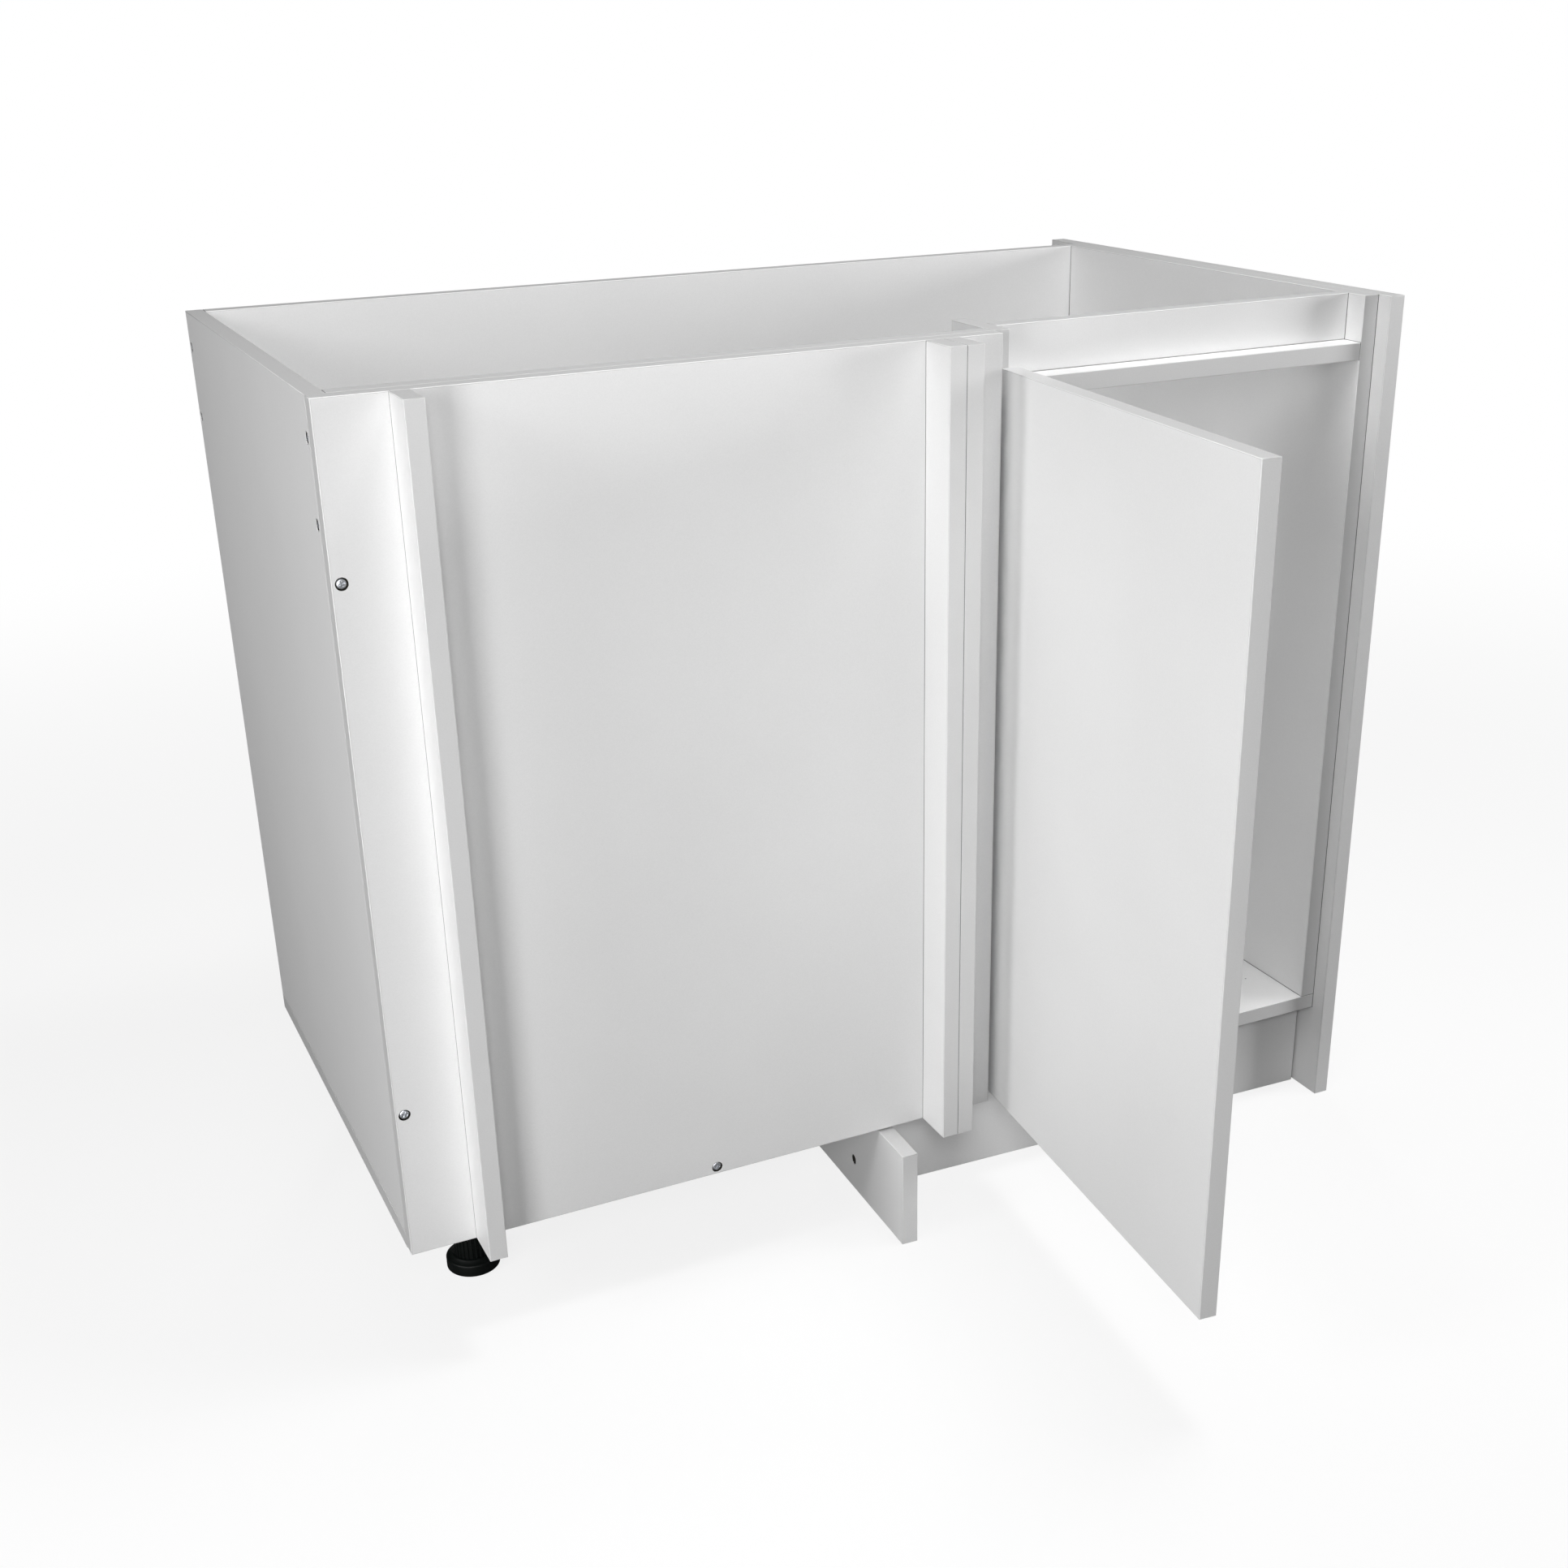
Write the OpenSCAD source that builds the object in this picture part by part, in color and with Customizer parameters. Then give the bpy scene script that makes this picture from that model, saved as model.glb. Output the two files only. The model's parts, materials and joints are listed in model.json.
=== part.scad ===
// Corner base cabinet of white melamine-faced board, all sizes in millimetres.
// A fixed blind front closes the left part, where the next run of cabinets meets it.
// A handleless door hangs on a stile beside it, under a recessed grip rail.
// Sizes run from the floor point below the carcass's front left corner: x to the right,
// y to the back, z up. The front edges of the carcass boards lie at y = 0.
// The model is then moved so that its origin is the middle of its footprint on the floor.

/* [Overall] */
// Overall width, from the left side to the end panel's outer face
total_w = 1000; // [960:5:1200]
// Overall height, from the floor to the top edges
total_h = 834; // [780:2:900]
// Depth of the carcass boards, front edge to back edge
carcass_d = 515; // [480:5:600]
// Thickness of every board
board_t = 16; // [15:0.5:18]
// Height of the bottom panel's underside above the floor
leg_h = 98; // [94:1:110]
// Depth of the small slope that eases each board's edges
edge_ease = 0.5; // [0.2:0.1:1]

/* [Carcass] */
// Height of the front and rear top rails
rail_h = 130; // [100:1:160]
// Depth of the upright stile that carries the door
stile_d = 72; // [66:1:90]
// Thickness of the hardboard back
back_t = 3; // [2.5:0.1:4]
// Distance from the carcass's back edge to the groove for the hardboard back
groove_inset = 6.5; // [5:0.5:9]
// Depth of that groove
groove_d = 7; // [5:0.5:8]
// Play of the hardboard back in its groove, all round
groove_play = 0.1; // [0.05:0.05:0.3]

/* [Grip recess] */
// Height of the recess, from the ledge to the top edges
grip_h = 42; // [36:1:50]
// Depth of the recess in front of the grip rail
grip_d = 23; // [20:1:28]

/* [Blind front] */
// Width of the fixed blind front
blind_w = 576; // [540:1:620]
// Height of its lower edge above the bottom panel's underside
blind_rise = 2; // [0:0.5:4]
// How far the battens stand out in front of it
batten_d = 41; // [30:1:60]
// Distance from the left side's outer face to the single batten
batten_left_x = 58; // [50:1:80]
// Distance from the pair of battens to the blind front's free edge
batten_right_inset = 41; // [30:1:60]

/* [End panel] */
// How far the end panel stands out in front of the carcass
end_front = 17; // [16:0.5:22]
// How far it runs on behind the carcass
end_back = 51; // [20:1:80]

/* [Plinth] */
// Distance from the carcass's front edges back to the plinth's face, at its left end
plinth_set_back = 37; // [32:1:44]
// Angle by which the loose plinth stands askew, its right end further forward
plinth_turn = 1.9; // [0:0.1:3]
// Gap between the plinth and the bottom panel above it
plinth_gap = 0.5; // [0.2:0.1:0.9]
// Gap between the plinth's right end and the end panel
plinth_end_gap = 2.5; // [1:0.5:5]
// Distance from the left side's outer face to the plinth's return
return_x = 458; // [430:1:480]
// How far the return stands out in front of the carcass
return_front = 66; // [40:1:90]
// Length of the return
return_len = 200; // [180:1:240]
// Height of the screw that joins the return to the plinth
plinth_screw_z = 33; // [20:1:60]

/* [Door] */
// Gap round the door's upright edges
door_gap = 3; // [2.5:0.5:4]
// Gap between the closed door and the carcass's front edges
door_back_gap = 3; // [2.5:0.5:4]
// Height of the door's lower edge above the bottom panel's underside
door_rise = 7; // [4:1:10]
// Distance from the door's upper edge down from the top edges
door_drop = 31; // [28:1:34]
// Angle at which the door stands open
door_open = 95; // [85:1:95]

/* [Hinges] */
// Distance from the door's ends to the middle of each hinge
hinge_inset = 100; // [80:1:120]
// Distance from the door's hinge edge to the pivot
pivot_in = 7.5; // [7.5:0.1:8]
// Distance from the door's outer face to the pivot
pivot_depth = 5.5; // [5.5:0.1:6]
// Radius of the pivot pin
pin_r = 1; // [0.9:0.1:1.1]
// Play of the arm's eye round the pin, on the radius
pin_play = 0.05; // [0.03:0.01:0.08]
// Radius of the hole in the door for the cup
cup_hole_r = 17.5; // [17.5:0.1:18]
// Distance from the door's hinge edge to that hole
cup_edge = 3; // [3:0.1:3.5]
// Depth of that hole
cup_hole_d = 13; // [12.8:0.1:13.2]
// Thickness of the steel sheet of the cup
cup_t = 0.5; // [0.4:0.1:0.6]
// Thickness of the cup's flange
flange_t = 1.2; // [1:0.1:1.2]
// Thickness of the steel sheet of the arm
arm_t = 2; // [1.6:0.1:2]
// Height of the arm's channel above the stile
arm_rise = 12; // [12:0.1:13]
// Distance from the carcass's front edge to the mounting plate's screws
plate_screw_y = 37; // [37:1:39]

/* [Legs] */
// Distance from the carcass's outer faces to the legs
leg_inset_x = 79; // [60:1:100]
// Distance from the carcass's front edge to the front legs
leg_inset_front = 94; // [90:1:120]
// Distance from the carcass's back edge to the rear legs
leg_inset_back = 60; // [50:1:100]
// Radius of the foot's base
foot_r = 25; // [22:0.5:30]
// Height of the rim of the foot's base
foot_rim_h = 12; // [8:0.5:14]
// Radius of the ribbed grip above the base
grip_r = 17; // [14:0.5:19]
// Depth of the grip's ribs
rib_d = 1.2; // [0.6:0.1:1.6]
// Number of ribs on the grip
rib_count = 24; // [16:1:32]
// Radius of the foot's stem
stem_r = 11; // [9:0.5:12]
// Play of the stem in the leg's sleeve, on the radius
stem_play = 0.06; // [0.03:0.01:0.09]
// Width of the leg's square plate
leg_plate_w = 80; // [76:1:90]
// Thickness of that plate
leg_plate_t = 4; // [3:0.5:5]
// Distance between the plate's screws
leg_screw_pitch = 64; // [58:1:66]

/* [Screws] */
// Radius of a screw's head
head_r = 4.2; // [3.6:0.1:4.5]
// Thickness of a screw's head
head_h = 2; // [1.5:0.1:2.2]
// Radius of a screw's shank
shank_r = 2; // [1.5:0.1:2.4]
// Play of a shank in its hole, on the radius
shank_play = 0.05; // [0.03:0.01:0.1]
// Radius of the sinking round a head
sink_r = 5.2; // [5:0.1:6]
// Depth of the sinking, to the underside of the head
sink_d = 2.4; // [2.3:0.1:4]
// The same depth at the plinth's corner, where the screw sits deeper
plinth_sink_d = 5; // [3:0.1:6]
// How deep a screw goes into the second board's edge
edge_bite = 34; // [24:1:40]
// How deep a screw goes into the second board's face
face_bite = 12; // [10:0.5:13]
// Distance between the two screws at a rail's end
rail_screw_pitch = 65; // [50:1:80]
// Distance from the blind front's ends to the screws at its left edge
blind_screw_inset = 138; // [100:1:160]
// Distance from the blind front's lower edge to the screw in its middle
blind_screw_rise = 7; // [6.5:0.1:9]

/* [Hidden] */
$fn = 64;
eps = 0.01;
side_r = total_w - board_t;
side_h = total_h - leg_h - board_t;
floor_z = leg_h + board_t;
rail_z = total_h - rail_h;
rail_mid_z = total_h - rail_h / 2;
inner_r = side_r - board_t;
stile_r = blind_w + board_t;
grip_z = total_h - grip_h;
blind_z = leg_h + blind_rise;
blind_mid_x = blind_w / 2;
ledge_d = grip_d + board_t;
plinth_h = leg_h - plinth_gap;
plinth_x = return_x + board_t;
groove_y = carcass_d - groove_inset - back_t;
grip_rail_mid_y = grip_d + board_t / 2;

// Door and hinges, with the door closed
door_x = blind_w + door_gap;
door_w = side_r - door_gap - door_x;
door_z = leg_h + door_rise;
door_h = total_h - door_drop - door_z;
door_face_y = -door_back_gap - board_t;
pivot_x = door_x + pivot_in;
pivot_y = door_face_y + pivot_depth;
hinge_heights = [door_z + hinge_inset, door_z + door_h - hinge_inset];
cup_x = door_x + cup_edge + cup_hole_r;
cup_play = 0.1;
cup_r = cup_hole_r - cup_play;
flange_r = cup_r + 1.1;
flange_screw_dx = 9.5;
flange_screw_dz = 22.5;
flange_end_r = 6;
eye_r = pin_r + 0.75;
pin_half = 10.2;
eye_w = 9;
arm_w = 16;
arm_wall = 1.5;
arm_end_y = plate_screw_y + 31;
arm_wall_y = 4;
arm_screw_y = arm_end_y - 10;
bend_r = 4;
roof_x = stile_r + arm_rise - arm_t;
plate_base_t = 2;
plate_spine_y = 12;
plate_w = 46;
plate_screw_dz = 16;
plate_foot_w = 14;
small_head_r = 3.4;
small_head_h = 1.6;
small_bite = 11;

// Footprint, with the door open: the origin is its middle
front_reach = (door_w - pivot_in) * sin(door_open)
    - (board_t - pivot_depth) * cos(door_open) - pivot_y;
corner_x = -total_w / 2;
corner_y = (front_reach - carcass_d - end_back) / 2;

// Legs, from the floor up
foot_slope_h = 3;
foot_bevel = 1.5;
grip_top_z = leg_h - 48;
stem_top_z = leg_h - leg_plate_t - 14;
sleeve_z = grip_top_z + 8;
sleeve_r = 17;
collar_r = 21;
collar_h = 8;
socket_z = leg_h - leg_plate_t - 16;
socket_play = 0.1;
plate_corner_r = 8;
leg_screw_bite = 12;
leg_spots = [
    [leg_inset_x, leg_inset_front],
    [side_r - leg_inset_x, leg_inset_front],
    [leg_inset_x, carcass_d - leg_inset_back],
    [side_r - leg_inset_x, carcass_d - leg_inset_back]
];

// Ways a screw's head can face
TO_LEFT = [0, -90, 0];
TO_RIGHT = [0, 90, 0];
TO_FRONT = [90, 0, 0];
TO_BACK = [-90, 0, 0];
TO_FLOOR = [180, 0, 0];
rail_screw_heights = [rail_mid_z - rail_screw_pitch / 2, rail_mid_z + rail_screw_pitch / 2];
edge_screw = board_t + edge_bite;
face_screw = board_t + face_bite;

// Where the screws' heads lie on the boards' faces
left_side_spots = [
    for (y = [board_t / 2, carcass_d - board_t / 2], z = rail_screw_heights) [0, y, z]
];
right_side_spots = concat(
    [for (z = rail_screw_heights) [side_r, carcass_d - board_t / 2, z]],
    [[side_r, grip_rail_mid_y, grip_z + grip_h / 2], [side_r, ledge_d * 0.7, grip_z - board_t / 2]]
);
stile_left_spots = [
    [blind_w, grip_rail_mid_y, grip_z + grip_h / 2],
    [blind_w, ledge_d * 0.7, grip_z - board_t / 2]
];
stile_right_spots = [for (z = rail_screw_heights) [stile_r, board_t / 2, z]];
base_spots = concat(
    [for (x = [board_t / 2, side_r - board_t / 2], y = [0.08, 0.5, 0.92] * carcass_d) [x, y, leg_h]],
    [for (y = [0.3, 0.75] * stile_d) [blind_w + board_t / 2, y, leg_h]]
);
blind_spots = [
    [board_t / 2, -board_t, total_h - blind_screw_inset],
    [board_t / 2, -board_t, blind_z + blind_screw_inset],
    [blind_mid_x, -board_t, blind_z + blind_screw_rise]
];
rail_face_spots = [for (x = [0.25, 0.75] * blind_w) [x, board_t, rail_mid_z]];
batten_xs = [
    batten_left_x,
    blind_w - batten_right_inset - 2 * board_t,
    blind_w - batten_right_inset - board_t
];
batten_spots = [
    for (x = batten_xs, share = [0.15, 0.48, 0.8])
        [x + board_t / 2, 0, blind_z + share * (total_h - blind_z)]
];
end_spots = [
    for (y = [0.58, 0.88] * carcass_d, z = [floor_z + 60, total_h - 90]) [inner_r, y, z]
];
plinth_screw_spot = [return_x, plinth_set_back + board_t / 2, plinth_screw_z];
leg_screw_spots = [
    for (leg = leg_spots, dx = [-0.5, 0.5], dy = [-0.5, 0.5])
        [leg[0] + dx * leg_screw_pitch, leg[1] + dy * leg_screw_pitch, leg_h - leg_plate_t]
];

// Moves what is drawn from the floor point below the front left corner to the origin
module placed() {
    translate([corner_x, corner_y, 0]) children();
}

// Turns the closed door's pieces about the pivot to where the door stands open
module swung() {
    placed()
        translate([pivot_x, pivot_y, 0])
            rotate([0, 0, -door_open])
                translate([-pivot_x, -pivot_y, 0])
                    children();
}

// Turns the plinth's pieces about their outer corner to where they stand askew
module askew() {
    placed()
        translate([return_x, plinth_set_back, 0])
            rotate([0, 0, -plinth_turn])
                translate([-return_x, -plinth_set_back, 0])
                    children();
}

// Rectangle with its four corners cut off at a slope
module eased_rect(a, b) {
    e = edge_ease;
    polygon([[e, 0], [a - e, 0], [a, e], [a, b - e], [a - e, b], [e, b], [0, b - e], [0, e]]);
}

// Board with all twelve edges eased
module board(w, d, h) {
    intersection() {
        linear_extrude(h) eased_rect(w, d);
        translate([0, d, 0]) rotate([90, 0, 0]) linear_extrude(d) eased_rect(w, h);
        rotate([90, 0, 90]) linear_extrude(w) eased_rect(d, h);
    }
}

// Screw with its head's underside at z = 0 and its shank running down
module screw(length, r = head_r, h = head_h) {
    slot_w = 0.25 * r;
    difference() {
        union() {
            cylinder(r1 = r, r2 = 0.8 * r, h = h);
            translate([0, 0, 0.9 * shank_r - length]) cylinder(r = shank_r, h = length - 0.9 * shank_r + eps);
            translate([0, 0, -length]) cylinder(r1 = 0, r2 = shank_r, h = 0.9 * shank_r + eps);
        }
        for (turn = [0, 90])
            rotate([0, 0, turn])
                translate([-0.6 * r, -slot_w / 2, 0.35 * h]) cube([1.2 * r, slot_w, h]);
    }
}

// Room for a screw: the sinking for its head, if it has one, and the hole for its shank
module screw_room(length, sunk = 0) {
    if (sunk > 0) translate([0, 0, -eps]) cylinder(r = sink_r, h = sunk + 1);
    translate([0, 0, -length - 1]) cylinder(r = shank_r + shank_play, h = length + 1 + eps);
}

// Screws at the spots, with the heads sunk in the faces that look the way given
module sunk_screws(spots, way, length, sunk = sink_d) {
    for (spot = spots)
        translate(spot) rotate(way) translate([0, 0, -sunk]) screw(length - sunk);
}

module sunk_rooms(spots, way, length, sunk = sink_d) {
    for (spot = spots)
        translate(spot) rotate(way) translate([0, 0, -sunk]) screw_room(length - sunk, sunk);
}

// Room for every screw of the carcass, to be cut from the boards
module carcass_rooms() {
    sunk_rooms(left_side_spots, TO_LEFT, edge_screw);
    sunk_rooms(right_side_spots, TO_RIGHT, edge_screw);
    sunk_rooms(stile_left_spots, TO_LEFT, edge_screw);
    sunk_rooms(stile_right_spots, TO_RIGHT, edge_screw);
}

module blind_rooms() {
    sunk_rooms(blind_spots, TO_FRONT, edge_screw);
}

// Carcass boards
module bottom_panel() {
    color("white") placed() difference() {
        translate([0, 0, leg_h]) board(side_r, carcass_d, board_t);
        translate([board_t - groove_d, groove_y - groove_play, floor_z - groove_d])
            cube([inner_r - board_t + 2 * groove_d, back_t + 2 * groove_play, groove_d + 1]);
        sunk_rooms(base_spots, TO_FLOOR, edge_screw);
        blind_rooms();
        for (spot = leg_screw_spots)
            translate(spot) rotate(TO_FLOOR) screw_room(leg_plate_t + leg_screw_bite);
    }
}

// Upright side, with the groove for the back in the face that looks inwards
module side_board(x, groove_x) {
    difference() {
        translate([x, 0, floor_z]) board(board_t, carcass_d, side_h);
        translate([groove_x, groove_y - groove_play, floor_z - 1])
            cube([groove_d + 1, back_t + 2 * groove_play, rail_z + groove_d - floor_z + 1]);
        sunk_rooms(base_spots, TO_FLOOR, edge_screw);
        carcass_rooms();
        blind_rooms();
        sunk_rooms(end_spots, TO_LEFT, face_screw);
    }
}

module left_side() {
    color("white") placed() side_board(0, board_t - groove_d);
}

module right_side() {
    color("white") placed() side_board(inner_r, inner_r - 1);
}

module front_rail() {
    color("white") placed() difference() {
        translate([board_t, 0, rail_z]) board(blind_w - board_t, board_t, rail_h);
        carcass_rooms();
        sunk_rooms(rail_face_spots, TO_BACK, face_screw);
    }
}

module rear_rail() {
    color("white") placed() difference() {
        translate([board_t, carcass_d - board_t, rail_z]) board(inner_r - board_t, board_t, rail_h);
        translate([board_t - 1, groove_y - groove_play, rail_z - 1])
            cube([inner_r - board_t + 2, back_t + 2 * groove_play, groove_d + 1]);
        carcass_rooms();
    }
}

module back_panel() {
    reach = groove_d - groove_play;
    color("white") placed()
        translate([board_t - reach, groove_y, floor_z - reach])
            cube([inner_r - board_t + 2 * reach, back_t, rail_z - floor_z + 2 * reach]);
}

module hinge_stile() {
    color("white") placed() difference() {
        translate([blind_w, 0, floor_z]) board(board_t, stile_d, side_h);
        sunk_rooms(base_spots, TO_FLOOR, edge_screw);
        carcass_rooms();
        plate_screw_rooms();
    }
}

// Grip recess over the door: an upright rail that stands on a ledge
module grip_rail() {
    color("white") placed() difference() {
        translate([stile_r, grip_d, grip_z]) board(inner_r - stile_r, board_t, grip_h);
        carcass_rooms();
    }
}

module grip_ledge() {
    color("white") placed() difference() {
        translate([stile_r, 0, grip_z - board_t]) board(inner_r - stile_r, ledge_d, board_t);
        carcass_rooms();
    }
}

// Fixed front with the battens that keep the next run of cabinets off it
module blind_front() {
    color("white") placed() difference() {
        translate([0, -board_t, blind_z]) board(blind_w, board_t, total_h - blind_z);
        blind_rooms();
        sunk_rooms(batten_spots, TO_BACK, edge_screw);
        sunk_rooms(rail_face_spots, TO_BACK, face_screw);
    }
}

module batten(i) {
    color("white") placed() difference() {
        translate([batten_xs[i], -board_t - batten_d, blind_z])
            board(board_t, batten_d, total_h - blind_z);
        sunk_rooms(batten_spots, TO_BACK, edge_screw);
    }
}

module end_panel() {
    color("white") placed() difference() {
        translate([side_r, -end_front, 0]) board(board_t, end_front + carcass_d + end_back, total_h);
        sunk_rooms(end_spots, TO_LEFT, face_screw);
    }
}

// Plinth with the return that runs under the next cabinet
module plinth_front() {
    color("white") askew() difference() {
        translate([plinth_x, plinth_set_back, 0])
            board(side_r - plinth_end_gap - plinth_x, board_t, plinth_h);
        sunk_rooms([plinth_screw_spot], TO_LEFT, edge_screw, plinth_sink_d);
    }
}

module plinth_return() {
    color("white") askew() difference() {
        translate([return_x, -return_front, 0]) board(board_t, return_len, plinth_h);
        sunk_rooms([plinth_screw_spot], TO_LEFT, edge_screw, plinth_sink_d);
    }
}

// Door, drawn closed and then swung open
module door() {
    color("white") swung() difference() {
        translate([door_x, door_face_y, door_z]) board(door_w, board_t, door_h);
        for (z = hinge_heights)
            translate([cup_x, -door_back_gap + 1, z])
                rotate([90, 0, 0]) cylinder(r = cup_hole_r, h = cup_hole_d + 1);
        cup_screw_rooms();
    }
}

// Hinge cup: a pressed steel pan let into the door, with a flange screwed to its face
module hinge_cup(i) {
    wing_x = flange_screw_dx;
    color("silver") swung() translate([cup_x, -door_back_gap, hinge_heights[i]])
        rotate([90, 0, 0]) difference() {
            union() {
                cylinder(r = cup_r, h = cup_hole_d - cup_play);
                translate([0, 0, -flange_t]) linear_extrude(flange_t) {
                    circle(r = flange_r);
                    translate([wing_x - flange_end_r, -flange_screw_dz])
                        square([2 * flange_end_r, 2 * flange_screw_dz]);
                    for (side = [-1, 1])
                        translate([wing_x, side * flange_screw_dz]) circle(r = flange_end_r);
                }
            }
            translate([0, 0, -flange_t - 1])
                cylinder(r = cup_r - cup_t, h = cup_hole_d - cup_play - cup_t + flange_t + 1);
            for (side = [-1, 1])
                translate([wing_x, side * flange_screw_dz, -flange_t - 1])
                    cylinder(r = shank_r + shank_play, h = flange_t + 2);
            translate([pivot_x - cup_x, 0, -door_back_gap - pivot_y])
                rotate([90, 0, 0]) cylinder(r = pin_r, h = 2 * cup_r, center = true);
        }
}

module hinge_pin(i) {
    color("gray") swung() translate([pivot_x, pivot_y, hinge_heights[i] - pin_half])
        cylinder(r = pin_r, h = 2 * pin_half);
}

// Outline of the arm from above: the eye, the finger, the bend and the roof of the channel
module arm_outline() {
    finger_y = pivot_y - arm_t / 2;
    bend_x = roof_x + arm_t - bend_r;
    translate([pivot_x, pivot_y]) circle(r = eye_r);
    translate([pivot_x, finger_y]) square([bend_x - pivot_x + eps, arm_t]);
    translate([bend_x, finger_y + bend_r]) intersection() {
        difference() {
            circle(r = bend_r);
            circle(r = bend_r - arm_t);
        }
        translate([0, -bend_r]) square(bend_r);
    }
    translate([roof_x, finger_y + bend_r - eps]) square([arm_t, arm_end_y - finger_y - bend_r + eps]);
}

// Hinge arm: a channel over the mounting plate, whose front end hooks into the cup
module hinge_arm(i) {
    z = hinge_heights[i];
    color("silver") placed() difference() {
        union() {
            translate([0, 0, z - eye_w / 2]) linear_extrude(eye_w) arm_outline();
            translate([roof_x, arm_wall_y, z - arm_w / 2]) cube([arm_t, arm_end_y - arm_wall_y, arm_w]);
            for (side = [0, 1])
                translate([stile_r + plate_base_t, arm_wall_y, z - arm_w / 2 + side * (arm_w - arm_wall)])
                    linear_extrude(arm_wall) polygon([
                        [roof_x - stile_r - plate_base_t + eps, 0],
                        [roof_x - stile_r - plate_base_t + eps, arm_end_y - arm_wall_y],
                        [0, arm_end_y - arm_wall_y],
                        [0, plate_spine_y - arm_wall_y]
                    ]);
        }
        translate([pivot_x, pivot_y, z - eye_w]) cylinder(r = pin_r + pin_play, h = 2 * eye_w);
        translate([roof_x - 1, arm_screw_y, z])
            rotate([0, 90, 0]) cylinder(r = shank_r + shank_play, h = arm_t + 2);
    }
}

// Mounting plate on the stile: a base with two screw wings and a spine under the arm
module hinge_plate(i) {
    spine_w = arm_w - 2 * arm_wall - 0.2;
    color("silver") placed() translate([stile_r, 0, hinge_heights[i]]) difference() {
        union() {
            translate([0, plate_spine_y, -arm_w / 2])
                cube([plate_base_t, arm_end_y - plate_spine_y, arm_w]);
            translate([0, plate_screw_y, 0]) rotate([0, 90, 0]) linear_extrude(plate_base_t) {
                translate([-plate_screw_dz, -plate_foot_w / 2]) square([2 * plate_screw_dz, plate_foot_w]);
                for (side = [-1, 1])
                    translate([side * plate_screw_dz, 0]) circle(r = plate_foot_w / 2);
            }
            translate([plate_base_t - eps, plate_spine_y + 2, -spine_w / 2])
                cube([arm_rise - arm_t - plate_base_t + eps, arm_end_y - plate_spine_y - 4, spine_w]);
        }
        for (side = [-1, 1])
            translate([-1, plate_screw_y, side * plate_screw_dz])
                rotate([0, 90, 0]) cylinder(r = shank_r + shank_play, h = plate_base_t + 2);
        translate([arm_rise - arm_t - 6, arm_screw_y, 0])
            rotate([0, 90, 0]) cylinder(r = shank_r + shank_play, h = 8);
    }
}

// Hinge screws
cup_screw_spots = [
    for (z = hinge_heights, side = [-1, 1])
        [cup_x + flange_screw_dx, flange_t - door_back_gap, z + side * flange_screw_dz]
];
plate_screw_spots = [
    for (z = hinge_heights, side = [-1, 1])
        [stile_r + plate_base_t, plate_screw_y, z + side * plate_screw_dz]
];

module cup_screw_rooms() {
    for (spot = cup_screw_spots) translate(spot) rotate(TO_BACK) screw_room(flange_t + small_bite);
}

module plate_screw_rooms() {
    for (spot = plate_screw_spots) translate(spot) rotate(TO_RIGHT) screw_room(plate_base_t + small_bite);
}

module cup_screws() {
    color("silver") swung() for (spot = cup_screw_spots)
        translate(spot) rotate(TO_BACK) screw(flange_t + small_bite, small_head_r, small_head_h);
}

module plate_screws() {
    color("silver") placed() for (spot = plate_screw_spots)
        translate(spot) rotate(TO_RIGHT) screw(plate_base_t + small_bite, small_head_r, small_head_h);
}

module arm_screws() {
    color("silver") placed() for (z = hinge_heights)
        translate([roof_x + arm_t, arm_screw_y, z])
            rotate(TO_RIGHT) screw(arm_t + 5, small_head_r, small_head_h);
}

// Legs: a plate with a socket, a sleeve plugged into it and a foot that screws into the sleeve
module leg_plate(i) {
    half = leg_plate_w / 2 - plate_corner_r;
    color("black") placed() translate([leg_spots[i][0], leg_spots[i][1], 0]) difference() {
        union() {
            translate([0, 0, leg_h - leg_plate_t]) linear_extrude(leg_plate_t) {
                square([leg_plate_w, 2 * half], center = true);
                square([2 * half, leg_plate_w], center = true);
                for (sx = [-1, 1], sy = [-1, 1]) translate([sx * half, sy * half]) circle(r = plate_corner_r);
            }
            translate([0, 0, socket_z]) cylinder(r = collar_r, h = leg_h - leg_plate_t - socket_z + eps);
        }
        translate([0, 0, socket_z - 1])
            cylinder(r = sleeve_r + socket_play, h = leg_h - leg_plate_t - socket_z + 1);
        for (sx = [-0.5, 0.5], sy = [-0.5, 0.5])
            translate([sx * leg_screw_pitch, sy * leg_screw_pitch, leg_h - leg_plate_t - 1])
                cylinder(r = shank_r + shank_play, h = leg_plate_t + 2);
    }
}

module leg_sleeve(i) {
    color("black") placed() translate([leg_spots[i][0], leg_spots[i][1], 0]) difference() {
        union() {
            translate([0, 0, sleeve_z]) cylinder(r = sleeve_r, h = leg_h - leg_plate_t - sleeve_z);
            translate([0, 0, socket_z - collar_h]) cylinder(r = collar_r, h = collar_h);
        }
        translate([0, 0, sleeve_z - 1]) cylinder(r = stem_r + stem_play, h = stem_top_z - sleeve_z + 3);
    }
}

// Ribbed outline of the foot's grip
module ribbed_outline() {
    step = 360 / rib_count;
    polygon([
        for (k = [0:rib_count - 1], corner = [[0, 0], [0.25, 1], [0.55, 1], [0.8, 0]])
            let (turn = (k + corner[0]) * step, r = grip_r - rib_d * (1 - corner[1]))
                [r * cos(turn), r * sin(turn)]
    ]);
}

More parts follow.
